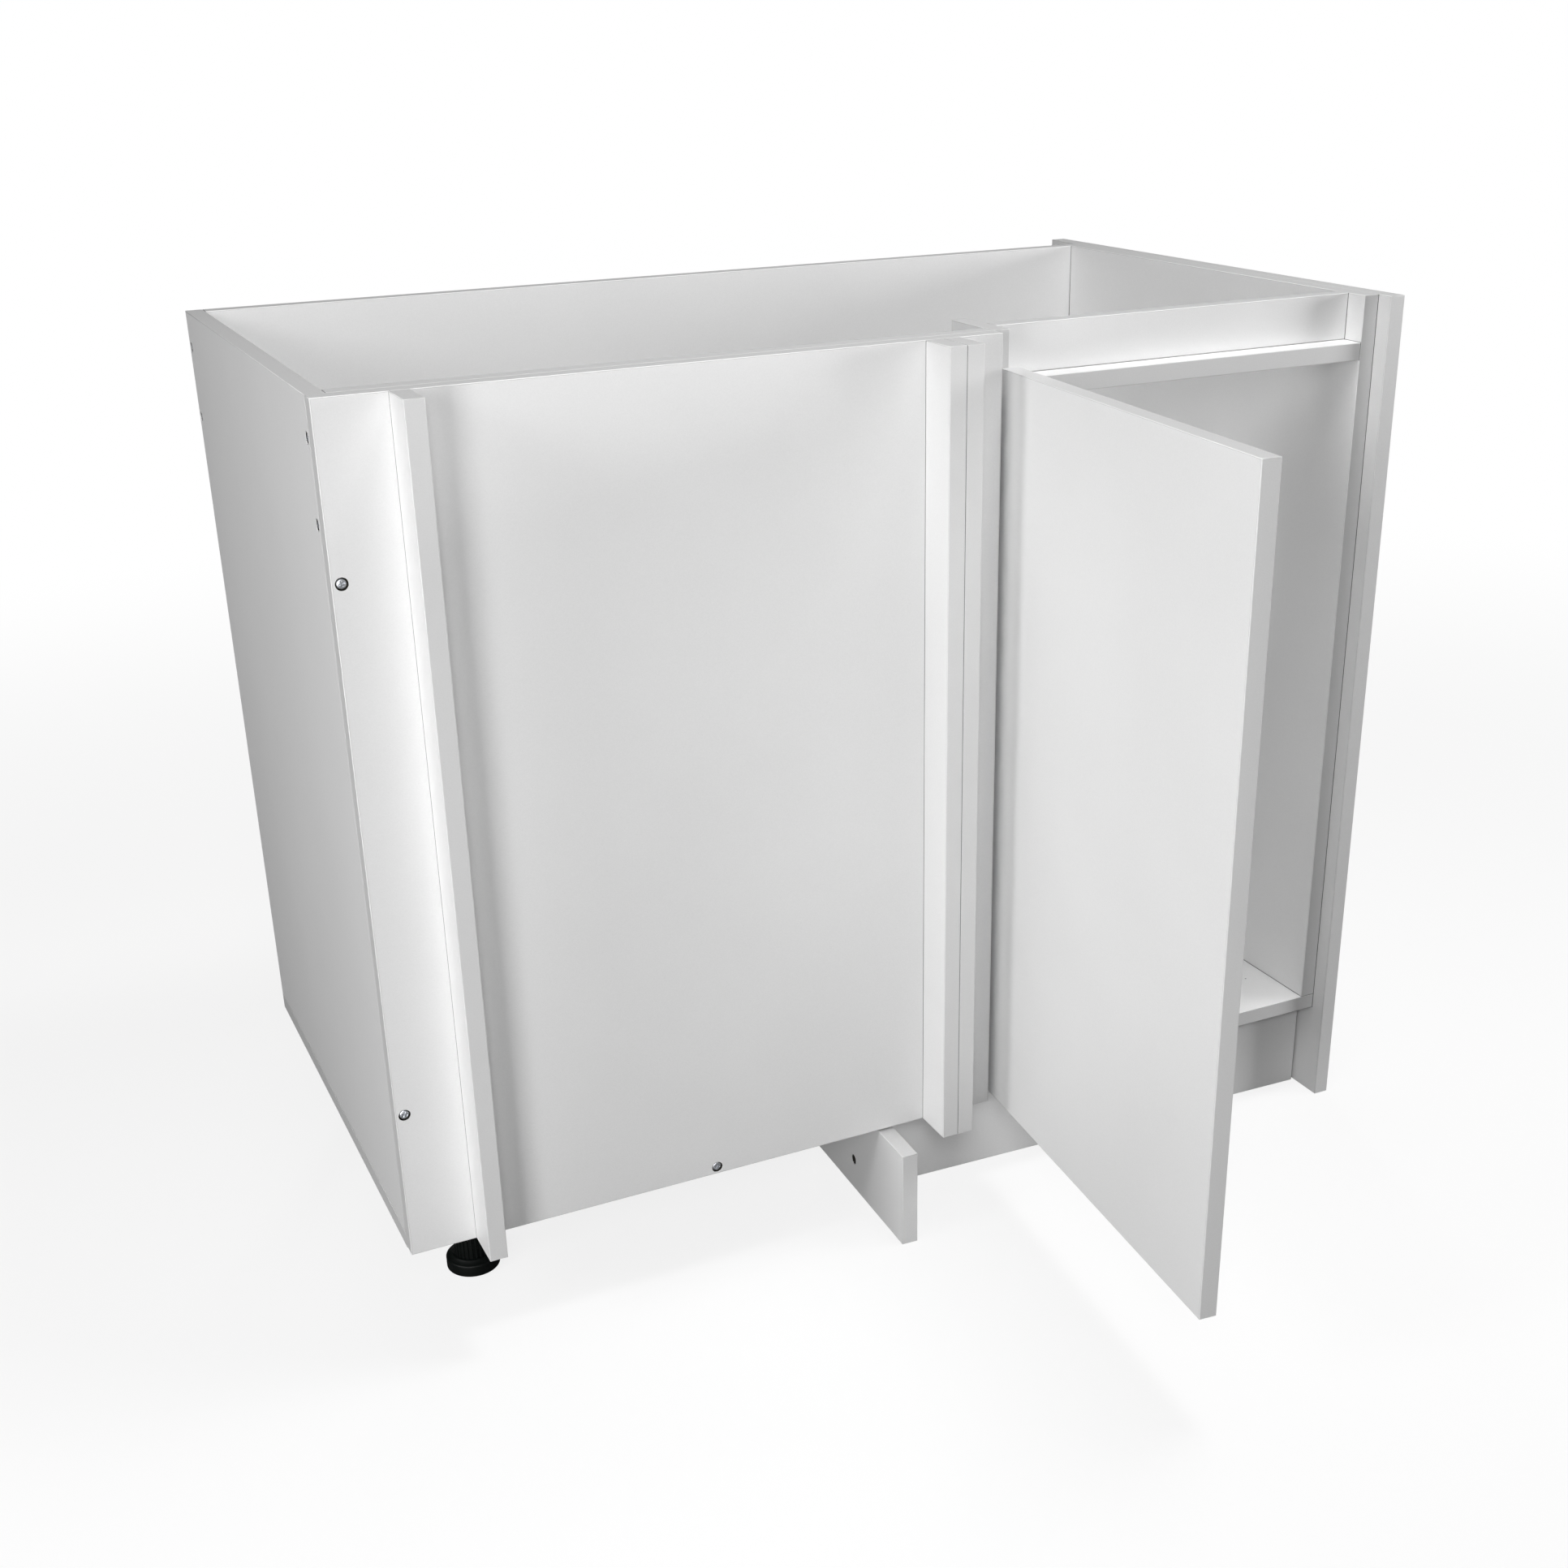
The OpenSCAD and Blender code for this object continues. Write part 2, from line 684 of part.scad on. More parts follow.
module leg_foot(i) {
    slope_z = foot_rim_h + foot_slope_h;
    color("black") placed() translate([leg_spots[i][0], leg_spots[i][1], 0]) {
        rotate_extrude() polygon([
            [0, 0], [foot_r - 1, 0], [foot_r, 1], [foot_r, foot_rim_h - foot_bevel],
            [foot_r - foot_bevel, foot_rim_h], [grip_r + 1, slope_z], [0, slope_z]
        ]);
        translate([0, 0, foot_rim_h]) linear_extrude(grip_top_z - foot_rim_h) ribbed_outline();
        translate([0, 0, foot_rim_h]) cylinder(r = stem_r, h = stem_top_z - foot_rim_h);
    }
}

// Screws of the boards and legs
module side_screws() {
    color("silver") placed() {
        sunk_screws(left_side_spots, TO_LEFT, edge_screw);
        sunk_screws(right_side_spots, TO_RIGHT, edge_screw);
    }
}

module base_screws() {
    color("silver") placed() sunk_screws(base_spots, TO_FLOOR, edge_screw);
}

module stile_screws() {
    color("silver") placed() {
        sunk_screws(stile_left_spots, TO_LEFT, edge_screw);
        sunk_screws(stile_right_spots, TO_RIGHT, edge_screw);
    }
}

module blind_screws() {
    color("silver") placed() sunk_screws(blind_spots, TO_FRONT, edge_screw);
}

module rail_screws() {
    color("silver") placed() sunk_screws(rail_face_spots, TO_BACK, face_screw);
}

module batten_screws() {
    color("silver") placed() sunk_screws(batten_spots, TO_BACK, edge_screw);
}

module end_screws() {
    color("silver") placed() sunk_screws(end_spots, TO_LEFT, face_screw);
}

module plinth_screw() {
    color("silver") askew() sunk_screws([plinth_screw_spot], TO_LEFT, edge_screw, plinth_sink_d);
}

module leg_screws() {
    color("silver") placed() for (spot = leg_screw_spots)
        translate(spot) rotate(TO_FLOOR) screw(leg_plate_t + leg_screw_bite);
}

bottom_panel();
left_side();
right_side();
front_rail();
rear_rail();
back_panel();
hinge_stile();
grip_rail();
grip_ledge();
blind_front();
for (i = [0:2]) batten(i);
end_panel();
plinth_front();
plinth_return();
door();
for (i = [0:1]) hinge_cup(i);
for (i = [0:1]) hinge_pin(i);
for (i = [0:1]) hinge_arm(i);
for (i = [0:1]) hinge_plate(i);
cup_screws();
plate_screws();
arm_screws();
for (i = [0:3]) leg_plate(i);
for (i = [0:3]) leg_sleeve(i);
for (i = [0:3]) leg_foot(i);
side_screws();
base_screws();
stile_screws();
blind_screws();
rail_screws();
batten_screws();
end_screws();
plinth_screw();
leg_screws();
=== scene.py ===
"""Finishes, screws, hinges, feet and studio of a corner base cabinet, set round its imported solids."""
import json
import math
import bmesh
import bpy
from bpy.props import FloatProperty, FloatVectorProperty, IntProperty, PointerProperty
from bpy.types import Operator, Panel, PropertyGroup
from mathutils import Euler, Matrix, Vector


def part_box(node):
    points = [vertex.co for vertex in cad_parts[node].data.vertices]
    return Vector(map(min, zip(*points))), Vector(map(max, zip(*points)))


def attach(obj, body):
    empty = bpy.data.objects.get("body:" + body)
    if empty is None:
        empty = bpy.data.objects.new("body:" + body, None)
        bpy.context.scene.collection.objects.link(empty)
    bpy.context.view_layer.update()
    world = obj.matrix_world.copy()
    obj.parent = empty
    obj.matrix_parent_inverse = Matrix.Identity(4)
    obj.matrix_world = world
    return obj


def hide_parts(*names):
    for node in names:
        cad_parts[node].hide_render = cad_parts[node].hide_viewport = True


bl_info = {
    "name": "Corner base cabinet",
    "version": (1, 0, 0),
    "blender": (4, 5, 0),
    "location": "3D View > Sidebar > Cabinet",
    "description": "Finishes, screws, hinges, feet and studio of a corner base cabinet",
    "category": "Object",
}

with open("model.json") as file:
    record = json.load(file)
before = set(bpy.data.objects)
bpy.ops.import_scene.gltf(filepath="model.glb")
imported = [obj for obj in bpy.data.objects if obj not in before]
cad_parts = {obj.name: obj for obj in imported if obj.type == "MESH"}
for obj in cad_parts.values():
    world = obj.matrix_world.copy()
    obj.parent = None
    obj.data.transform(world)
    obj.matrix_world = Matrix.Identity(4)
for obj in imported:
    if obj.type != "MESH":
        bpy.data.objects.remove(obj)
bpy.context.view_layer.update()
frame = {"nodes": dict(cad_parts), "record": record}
NODES = frame["nodes"]
SLOTS = {part["node"]: part["material_slot"] for part in frame["record"]["subparts"]}
MM = 0.001
MERGE = 0.002 * MM

BOARDS = [
    "bottom_panel", "left_side", "right_side", "front_rail", "rear_rail", "hinge_stile",
    "grip_rail", "grip_ledge", "blind_front", "batten_1", "batten_2", "batten_3",
    "end_panel", "plinth_front", "plinth_return", "door",
]
# Pairs of boards pressed tight together: the line of painted shade where they meet is narrower by this
# share.
PRESSED = [{"blind_front", other} for other in ("left_side", "batten_1", "batten_2", "batten_3")]
PRESSED_SHADE_SHARE = 0.35
SCREW_TIP = Vector((0.442, -0.0173))
SCREW_TIP_REACH = 1.3 * MM
# Width of the painted shade along the bottom panel's lower front edge, standing in for the shadowed gap
# above the plinth.
LOWER_EDGE_SHADE_REACH = 0.9 * MM
SHANK_RADIUS = 1.98 * MM
STEM_RADIUS = 11 * MM
LONG_EDGE = 8 * MM
FLOOR_REACH = 60.0
SCREW_NODES = [name for name in NODES if "screw" in name]
STEEL_NODES = [name for name in NODES if name.startswith(("hinge_arm", "hinge_plate", "hinge_cup"))]
PIN_NODES = [name for name in NODES if name.startswith("hinge_pin")]
FEET = sorted(name for name in NODES if name.startswith("leg_foot"))
LEG_SOCKETS = [name for name in NODES if name.startswith(("leg_plate", "leg_sleeve"))]


def colour(name, description, value):
    """A colour property."""
    return FloatVectorProperty(
        name=name, description=description, subtype="COLOR", size=3, min=0.0, max=1.0, default=value
    )


def length(name, description, value):
    """A length property in metres."""
    return FloatProperty(
        name=name, description=description, subtype="DISTANCE", unit="LENGTH", min=0.0, default=value
    )


def share(name, description, value):
    """A property from 0 to 1."""
    return FloatProperty(
        name=name, description=description, subtype="FACTOR", min=0.0, max=1.0, default=value
    )


def power(name, description, value):
    """A lamp's power property in watts."""
    return FloatProperty(name=name, description=description, unit="POWER", min=0.0, default=value)


class BoardLook(PropertyGroup):
    face: colour("Facing", "Colour of the melamine facing", (0.80, 0.80, 0.80))
    band: colour("Edge band", "Colour of the edge band", (0.69, 0.69, 0.69))
    seam: colour("Seam", "Colour of the glue line beside the edge band", (0.42, 0.41, 0.40))
    # Painted shade in the lines where boards meet and along the bottom panel's lower front edge takes this
    # colour; so does the dark tip of a screw on the bottom panel.
    shade_and_tip: colour("Joint", "Colour in the lines between the boards", (0.05, 0.048, 0.045))
    shade_and_tip_depth: share("Joint depth", "Share of that colour in the lines", 0.85)
    joint_reach: length("Joint reach", "Width of the lines on each board", 0.45 * MM)
    # The core's colours are darkened close to black: the chipboard's brown with painted shade inside the
    # sunk holes.
    chips: colour("Chips", "Colour of the chipboard core", (0.032, 0.026, 0.02))
    glue: colour("Core gaps", "Colour between the chips of the core", (0.009, 0.007, 0.005))
    band_depth: length("Band depth", "Thickness of the edge band", 0.8 * MM)
    seam_width: length("Seam width", "Width of the glue line", 0.28 * MM)
    rounding: length("Rounding", "Rounding of the boards' edges", 0.28 * MM)
    pearl_size: length("Pearl size", "Size of the facing's fine dimples", 1.1 * MM)
    pearl_depth: length("Pearl depth", "Depth of those dimples", 0.012 * MM)
    face_roughness: share("Facing roughness", "Roughness of the facing", 0.42)
    band_roughness: share("Band roughness", "Roughness of the edge band", 0.36)


class SteelLook(PropertyGroup):
    nickel: colour("Nickel", "Colour of the hinges' plating", (0.66, 0.65, 0.62))
    zinc: colour("Zinc", "Colour of the screws", (0.78, 0.80, 0.84))
    pin: colour("Pin", "Colour of the hinge pins", (0.45, 0.45, 0.45))
    rounding: length("Rounding", "Rounding of the pressed parts' edges", 0.25 * MM)


class ScrewShape(PropertyGroup):
    pitch: length("Thread pitch", "Distance between the thread's turns", 1.8 * MM)
    thread: length("Thread height", "Height of the thread over its core", 0.55 * MM)
    slot_width: share("Slot width", "Width of the cross recess over the head's radius", 0.3)
    slot_length: share("Slot length", "Half length of the recess over the head's radius", 0.66)
    seed: IntProperty(name="Seed", description="Turns the recesses at random", default=7)


class FootShape(PropertyGroup):
    rim_height: length("Rim height", "Height of the base's rim", 12 * MM)
    rim_round: length("Rim rounding", "Rounding of the rim", 1.6 * MM)
    slope_height: length("Slope height", "Rise of the base from its rim to the boss", 2.2 * MM)
    boss_radius: length("Boss radius", "Radius of the low boss round the grip", 19.5 * MM)
    grip_radius: length("Grip radius", "Radius of the ribbed grip", 17 * MM)
    grip_top: length("Grip top", "Height of the grip's upper end", 50 * MM)
    rib_depth: length("Rib depth", "Depth of the grip's ribs", 1.2 * MM)
    ribs: IntProperty(name="Ribs", description="Number of ribs on the grip", default=24, min=8)
    rounding: length("Rounding", "Rounding of the plates' and sleeves' edges", 0.4 * MM)
    plastic: colour("Plastic", "Colour of the moulded plastic", (0.0022, 0.0034, 0.003))


class Studio(PropertyGroup):
    key: power("Key", "Lamp at the front left", 16.6)
    near: power("Near", "Closer lamp in front of the blind front", 11.7)
    top: power("Top", "Lamp over the open carcass", 30.4)
    side: power("Side", "Lamp at the left side", 31.9)
    right: power("Right", "Lamp at the right", 40.4)
    low: power("Low", "Lamp near the floor at the left", 12.1)
    back: power("Back", "Lamp behind, for the sides that the camera doesn't see", 60.0)
    softness: length("Softness", "Width of a lamp of breadth 1", 0.5)
    ambient: share("Ambient", "Strength of the light from all round", 0.01)
    floor: colour("Floor", "Colour of the floor as the light finds it", (0.12, 0.12, 0.12))
    paper: colour("Paper", "Colour of the floor as the camera finds it", (0.82, 0.82, 0.82))
    paper_glow: share("Paper glow", "Share of plain white that the camera finds on the floor", 0.82)
    paper_fade: length("Paper fade", "Distance at which the floor has turned plain white", 3.0)


class Viewpoint(PropertyGroup):
    place: FloatVectorProperty(
        name="Place", description="Where the camera stands", subtype="XYZ", unit="LENGTH", size=3,
        default=(-0.7868, -1.5494, 1.0834),
    )
    heading: FloatProperty(
        name="Heading", description="Turn to the right from straight ahead", unit="ROTATION",
        default=math.radians(25.137),
    )
    dip: FloatProperty(
        name="Dip", description="Tilt below the horizon", unit="ROTATION", default=math.radians(23.862)
    )
    roll: FloatProperty(
        name="Roll", description="Lean of the picture", unit="ROTATION", default=math.radians(-1.126)
    )
    lens: FloatProperty(name="Lens", description="Focal length in millimetres", default=45.328)
    shift_x: FloatProperty(name="Shift X", description="Sideways shift of the picture", default=-0.02123)
    shift_y: FloatProperty(name="Shift Y", description="Upright shift of the picture", default=0.06214)


class Net:
    """Adds nodes to one tree and links them as they are made."""

    def __init__(self, tree):
        self.tree = tree

    def add(self, kind, sockets=None, **settings):
        node = self.tree.nodes.new(kind)
        for key, value in settings.items():
            setattr(node, key, value)
        for key, value in (sockets or {}).items():
            self.feed(node.inputs[key], value)
        return node

    def feed(self, socket, value):
        if isinstance(value, bpy.types.NodeSocket):
            self.tree.links.new(value, socket)
        else:
            socket.default_value = value

    def math(self, operation, *values):
        return self.add("ShaderNodeMath", dict(enumerate(values)), operation=operation).outputs[0]

    def vector(self, operation, *values):
        node = self.add("ShaderNodeVectorMath", dict(enumerate(values)), operation=operation)
        return node.outputs["Value" if operation in ("DOT_PRODUCT", "LENGTH") else "Vector"]

    def ramp(self, value, low, high, start=0.0, end=1.0):
        sockets = {"Value": value, "From Min": low, "From Max": high, "To Min": start, "To Max": end}
        return self.add("ShaderNodeMapRange", sockets, interpolation_type="SMOOTHSTEP").outputs[0]

    def blend(self, factor, first, second):
        node = self.add("ShaderNodeMix", data_type="RGBA")
        self.feed(node.inputs[0], factor)
        self.feed(node.inputs[6], first)
        self.feed(node.inputs[7], second)
        return node.outputs[2]

    def noise(self, position, scale, detail=2.0, roughness=0.5):
        sockets = {"Vector": position, "Scale": scale, "Detail": detail, "Roughness": roughness}
        return self.add("ShaderNodeTexNoise", sockets).outputs["Fac"]


def rgba(values):
    """A colour with full cover."""
    return (*values, 1.0)


def shader_group(name, inputs, outputs):
    """An empty shader group with its named sockets: its net, what it is given and what it puts out."""
    tree = bpy.data.node_groups.new(name, "ShaderNodeTree")
    for label, kind in inputs:
        tree.interface.new_socket(label, in_out="INPUT", socket_type="NodeSocket" + kind)
    for label, kind in outputs:
        tree.interface.new_socket(label, in_out="OUTPUT", socket_type="NodeSocket" + kind)
    net = Net(tree)
    return net, net.add("NodeGroupInput").outputs, net.add("NodeGroupOutput").inputs


def board_zones():
    """Tells the parts of a board's surface apart by their place in its box."""
    net, given, put = shader_group(
        "Board zones",
        [("Position", "Vector"), ("Normal", "Vector"), ("Low", "Vector"), ("High", "Vector"),
         ("Across", "Vector"), ("Band", "Float"), ("Seam", "Float")],
        [("Edge", "Float"), ("Seam", "Float"), ("Cut", "Float")],
    )
    from_low = net.vector("SUBTRACT", given["Position"], given["Low"])
    to_high = net.vector("SUBTRACT", given["High"], given["Position"])
    inside = net.vector("MINIMUM", from_low, to_high)
    far = net.vector("SCALE", given["Across"])
    net.feed(far.node.inputs["Scale"], 10.0)
    in_plane = net.add("ShaderNodeSeparateXYZ", {0: net.vector("ADD", inside, far)}).outputs
    to_band = net.math("MINIMUM", net.math("MINIMUM", in_plane[0], in_plane[1]), in_plane[2])
    depth = net.vector("DOT_PRODUCT", inside, given["Across"])
    facing = net.math("ABSOLUTE", net.vector("DOT_PRODUCT", given["Normal"], given["Across"]))
    edge = net.ramp(facing, 0.62, 0.4)
    off_seam = net.math("ABSOLUTE", net.math("SUBTRACT", to_band, given["Band"]))
    line = net.ramp(off_seam, given["Seam"], 0.0)
    net.feed(put["Edge"], edge)
    net.feed(put["Seam"], net.math("MULTIPLY", line, net.math("SUBTRACT", 1.0, edge)))
    net.feed(put["Cut"], net.ramp(net.math("MINIMUM", to_band, depth), 0.6 * MM, 0.8 * MM))
    return net.tree


def near_box():
    """Shows how near a place is to a neighbour's box, for the line of painted shade where two boards meet.
    """
    net, given, put = shader_group(
        "Near a box",
        [("Position", "Vector"), ("Low", "Vector"), ("High", "Vector"), ("Reach", "Float"),
         ("Before", "Float")],
        [("Near", "Float")],
    )
    below = net.vector("SUBTRACT", given["Low"], given["Position"])
    above = net.vector("SUBTRACT", given["Position"], given["High"])
    outside = net.vector("MAXIMUM", net.vector("MAXIMUM", below, above), Vector())
    inner = net.math("MULTIPLY", given["Reach"], 0.3)
    near = net.ramp(net.vector("LENGTH", outside), given["Reach"], inner)
    net.feed(put["Near"], net.math("MAXIMUM", near, given["Before"]))
    return net.tree


def melamine_skin():
    """Fine dimples, slow unevenness and a few scuffs of a melamine facing."""
    net, given, put = shader_group(
        "Melamine skin",
        [("Position", "Vector"), ("Colour", "Color"), ("Pearl size", "Float")],
        [("Colour", "Color"), ("Height", "Float"), ("Shine", "Float")],
    )
    pearl = net.noise(given["Position"], net.math("DIVIDE", 1.0, given["Pearl size"]), 1.0, 0.6)
    cloud = net.noise(given["Position"], 5.0, 3.0)
    stretched = net.add("ShaderNodeMapping", {"Vector": given["Position"], "Scale": (9.0, 9.0, 60.0)})
    scuff = net.ramp(net.noise(stretched.outputs[0], 2.2, 4.0, 0.65), 0.68, 0.74)
    speck = net.ramp(net.noise(given["Position"], 900.0, 1.0), 0.70, 0.80)
    tone = net.math("ADD", net.ramp(cloud, 0.3, 0.7, 0.955, 0.98), net.math("MULTIPLY", pearl, 0.07))
    tone = net.math("SUBTRACT", tone, net.math("MULTIPLY", speck, 0.05))
    tinted = net.vector("SCALE", given["Colour"])
    net.feed(tinted.node.inputs["Scale"], tone)
    net.feed(put["Colour"], tinted)
    net.feed(put["Height"], pearl)
    net.feed(put["Shine"], net.math("MULTIPLY", scuff, 0.12))
    return net.tree


def chipboard_core():
    """Pressed wood core as it shows where a screw's hole is sunk, darkened close to black as painted shade
    inside the hole.
    """
    net, given, put = shader_group(
        "Chipboard core",
        [("Position", "Vector"), ("Chips", "Color"), ("Gaps", "Color")],
        [("Colour", "Color"), ("Height", "Float")],
    )
    flat = net.add("ShaderNodeMapping", {"Vector": given["Position"], "Scale": (500.0, 700.0, 1100.0)})
    cells = net.add("ShaderNodeTexVoronoi", {"Vector": flat.outputs[0], "Scale": 1.0})
    shade = net.math("MULTIPLY", cells.outputs["Distance"], 1.1)
    grain = net.noise(given["Position"], 1800.0, 3.0)
    amount = net.math("ADD", shade, net.math("MULTIPLY", grain, 0.35))
    net.feed(put["Colour"], net.blend(net.ramp(amount, 0.35, 1.0), given["Chips"], given["Gaps"]))
    net.feed(put["Height"], net.math("SUBTRACT", 1.0, amount))
    return net.tree


def metal_skin():
    """Fine drawing lines and tumbled patches of plated steel."""
    net, given, put = shader_group(
        "Metal skin",
        [("Position", "Vector"), ("Colour", "Color"), ("Roughness", "Float")],
        [("Colour", "Color"), ("Roughness", "Float"), ("Height", "Float")],
    )
    lines = net.add("ShaderNodeMapping", {"Vector": given["Position"], "Scale": (4000.0, 300.0, 4000.0)})
    drawn = net.noise(lines.outputs[0], 1.0, 2.0)
    patch = net.noise(given["Position"], 260.0, 3.0)
    rough = net.math("ADD", given["Roughness"], net.ramp(patch, 0.3, 0.7, -0.06, 0.08))
    tinted = net.vector("SCALE", given["Colour"])
    net.feed(tinted.node.inputs["Scale"], net.ramp(patch, 0.25, 0.75, 0.86, 1.0))
    net.feed(put["Colour"], tinted)
    net.feed(put["Roughness"], rough)
    net.feed(put["Height"], drawn)
    return net.tree


GROUP_NAMES = {
    board_zones: "Board zones",
    near_box: "Near a box",
    melamine_skin: "Melamine skin",
    chipboard_core: "Chipboard core",
    metal_skin: "Metal skin",
}


def group(maker):
    """The shader group that a maker function builds, built once."""
    return bpy.data.node_groups.get(GROUP_NAMES[maker]) or maker()


def new_material(name):
    """A material with its nodes' net, its Principled shader and its Texture Coordinate outputs."""
    material = bpy.data.materials.new(name)
    material.use_nodes = True
    net = Net(material.node_tree)
    shader = material.node_tree.nodes["Principled BSDF"]
    return material, net, shader, net.add("ShaderNodeTexCoord").outputs


def place_group(net, maker, **sockets):
    """One of the shader groups set in a net, with its inputs fed: the group's outputs."""
    node = net.add("ShaderNodeGroup", node_tree=group(maker))
    for key, value in sockets.items():
        net.feed(node.inputs[key.replace("_", " ")], value)
    return node.outputs


def add_bump(net, shader, height, distance):
    """Feeds a shader's normal from a height."""
    bump = net.add("ShaderNodeBump", {"Height": height, "Distance": distance, "Strength": 1.0})
    net.feed(shader.inputs["Normal"], bump.outputs["Normal"])


def own_turn(name):
    """Angle by which a board's upright faces are turned about Z, from -45 to 45 degrees."""
    along, aside = 0.0, 0.0
    for face in NODES[name].data.polygons:
        if abs(face.normal.z) < 0.1:
            heading = 4.0 * math.atan2(face.normal.y, face.normal.x)
            along += face.area * math.cos(heading)
            aside += face.area * math.sin(heading)
    return math.atan2(aside, along) / 4.0


def own_box(name, turn):
    """A board's lowest and highest corner, with the board turned straight."""
    straight = Matrix.Rotation(-turn, 3, "Z")
    points = [straight @ vertex.co for vertex in NODES[name].data.vertices]
    low = Vector([min(p[i] for p in points) for i in range(3)])
    high = Vector([max(p[i] for p in points) for i in range(3)])
    return low, high


def neighbours(name, turn):
    """Boxes of the boards that touch a board and stand as straight, and how wide the line of painted shade
    is where each meets it.
    """
    low, high = own_box(name, turn)
    for other in (*BOARDS, "back_panel"):
        if other == name or abs(own_turn(other) - turn) > math.radians(0.1):
            continue
        other_low, other_high = own_box(other, turn)
        gaps = [max(other_low[i] - high[i], low[i] - other_high[i]) for i in range(3)]
        if max(gaps) < 0.7 * MM:
            yield other_low, other_high, PRESSED_SHADE_SHARE if {name, other} in PRESSED else 1.0


def board_material(name, look):
    """Melamine-faced chipboard with banded edges, laid out by the board's own box."""
    turn = own_turn(name)
    low, high = own_box(name, turn)
    size = high - low
    across = Vector([float(extent == min(size)) for extent in size])
    material, net, shader, coords = new_material("board_" + name)
    straight = {"Rotation": (0.0, 0.0, -turn)}
    position = net.add("ShaderNodeMapping", {"Vector": coords["Object"], **straight}).outputs[0]
    normal = net.add(
        "ShaderNodeMapping", {"Vector": coords["Normal"], **straight}, vector_type="NORMAL"
    ).outputs[0]
    zones = place_group(
        net, board_zones, Position=position, Normal=normal, Low=low, High=high, Across=across,
        Band=look.band_depth, Seam=look.seam_width,
    )
    base = net.blend(zones["Edge"], rgba(look.face), rgba(look.band))
    base = net.blend(net.math("MULTIPLY", zones["Seam"], 0.6), base, rgba(look.seam))
    skin = place_group(net, melamine_skin, Position=position, Colour=base, Pearl_size=look.pearl_size)
    core = place_group(
        net, chipboard_core, Position=position, Chips=rgba(look.chips), Gaps=rgba(look.glue)
    )
    # Lines of painted shade darken the colour where the boards meet, as if shade fell in narrow gaps
    # between them.
    shade_and_tip = 0.0
    lines = [(*box, look.joint_reach * width) for *box, width in neighbours(name, turn)]
    if name == "bottom_panel":
        spot = Vector((*SCREW_TIP, high.z))
        lines.append((spot, spot, SCREW_TIP_REACH))
        # Painted shade along the lower front edge, for the shadowed gap over the plinth.
        lines.append((low, Vector((high.x, low.y, low.z)), LOWER_EDGE_SHADE_REACH))
    for other_low, other_high, reach in lines:
        shade_and_tip = place_group(
            net, near_box, Position=position, Low=other_low, High=other_high,
            Reach=reach, Before=shade_and_tip,
        )["Near"]
    shaded = net.blend(net.math("MULTIPLY", shade_and_tip, look.shade_and_tip_depth), skin["Colour"], rgba(look.shade_and_tip))
    net.feed(shader.inputs["Base Color"], net.blend(zones["Cut"], shaded, core["Colour"]))
    shine = net.add("ShaderNodeMix", {0: zones["Edge"], 2: look.face_roughness, 3: look.band_roughness})
    rough = net.math("ADD", shine.outputs[0], skin["Shine"])
    rough = net.math("ADD", rough, net.math("MULTIPLY", zones["Cut"], 0.5))
    net.feed(shader.inputs["Roughness"], rough)
    height = net.add("ShaderNodeMix", {0: zones["Cut"], 2: skin["Height"]}).outputs[0]
    net.feed(height.node.inputs[3], net.math("MULTIPLY", core["Height"], 4.0))
    add_bump(net, shader, height, look.pearl_depth)
    return material


def hardboard_material(look):
    """Thin hardboard: white paint in front, brown pressed fibre with a screen pattern behind."""
    material, net, shader, coords = new_material("hardboard_back")
    behind = net.ramp(net.vector("DOT_PRODUCT", coords["Normal"], Vector((0.0, 1.0, 0.0))), 0.4, 0.6)
    fibre = net.noise(coords["Object"], 260.0, 6.0, 0.7)
    brown = net.blend(fibre, (0.16, 0.085, 0.04, 1.0), (0.30, 0.175, 0.09, 1.0))
    skin = place_group(
        net, melamine_skin, Position=coords["Object"], Colour=rgba(look.face), Pearl_size=2.4 * MM
    )
    net.feed(shader.inputs["Base Color"], net.blend(behind, skin["Colour"], brown))
    net.feed(shader.inputs["Roughness"], net.ramp(behind, 0.0, 1.0, 0.5, 0.88))
    weave = net.add("ShaderNodeMapping", {"Vector": coords["Object"], "Scale": (2400.0, 1.0, 2400.0)})
    axes = net.add("ShaderNodeSeparateXYZ", {0: weave.outputs[0]}).outputs
    screen = net.math("MULTIPLY", net.math("SINE", axes[0]), net.math("SINE", axes[2]))
    height = net.add("ShaderNodeMix", {0: behind, 2: skin["Height"], 3: screen}).outputs[0]
    add_bump(net, shader, height, 0.04 * MM)
    return material


def metal_material(name, tint, roughness):
    """Plated steel."""
    material, net, shader, coords = new_material(name)
    skin = place_group(
        net, metal_skin, Position=coords["Object"], Colour=rgba(tint), Roughness=roughness
    )
    shader.inputs["Metallic"].default_value = 1.0
    net.feed(shader.inputs["Base Color"], skin["Colour"])
    net.feed(shader.inputs["Roughness"], skin["Roughness"])
    add_bump(net, shader, skin["Height"], 0.004 * MM)
    return material


def plastic_material(tint):
    """Moulded black plastic with a spark-eroded grain and pale scuffs in random patches."""
    material, net, shader, coords = new_material("moulded_plastic")
    grain = net.noise(coords["Object"], 1500.0, 2.0)
    dust = net.ramp(net.noise(coords["Object"], 120.0, 5.0, 0.7), 0.55, 0.8)
    pale = tuple(3.2 * value for value in tint)
    net.feed(shader.inputs["Base Color"], net.blend(dust, rgba(tint), rgba(pale)))
    net.feed(shader.inputs["Roughness"], net.ramp(grain, 0.3, 0.7, 0.38, 0.55))
    shader.inputs["Specular IOR Level"].default_value = 0.25
    add_bump(net, shader, grain, 0.02 * MM)
    return material


def dress(name, material):
    """Puts a material on a CAD node."""
    mesh = NODES[name].data
    mesh.materials.clear()
    mesh.materials.append(material)


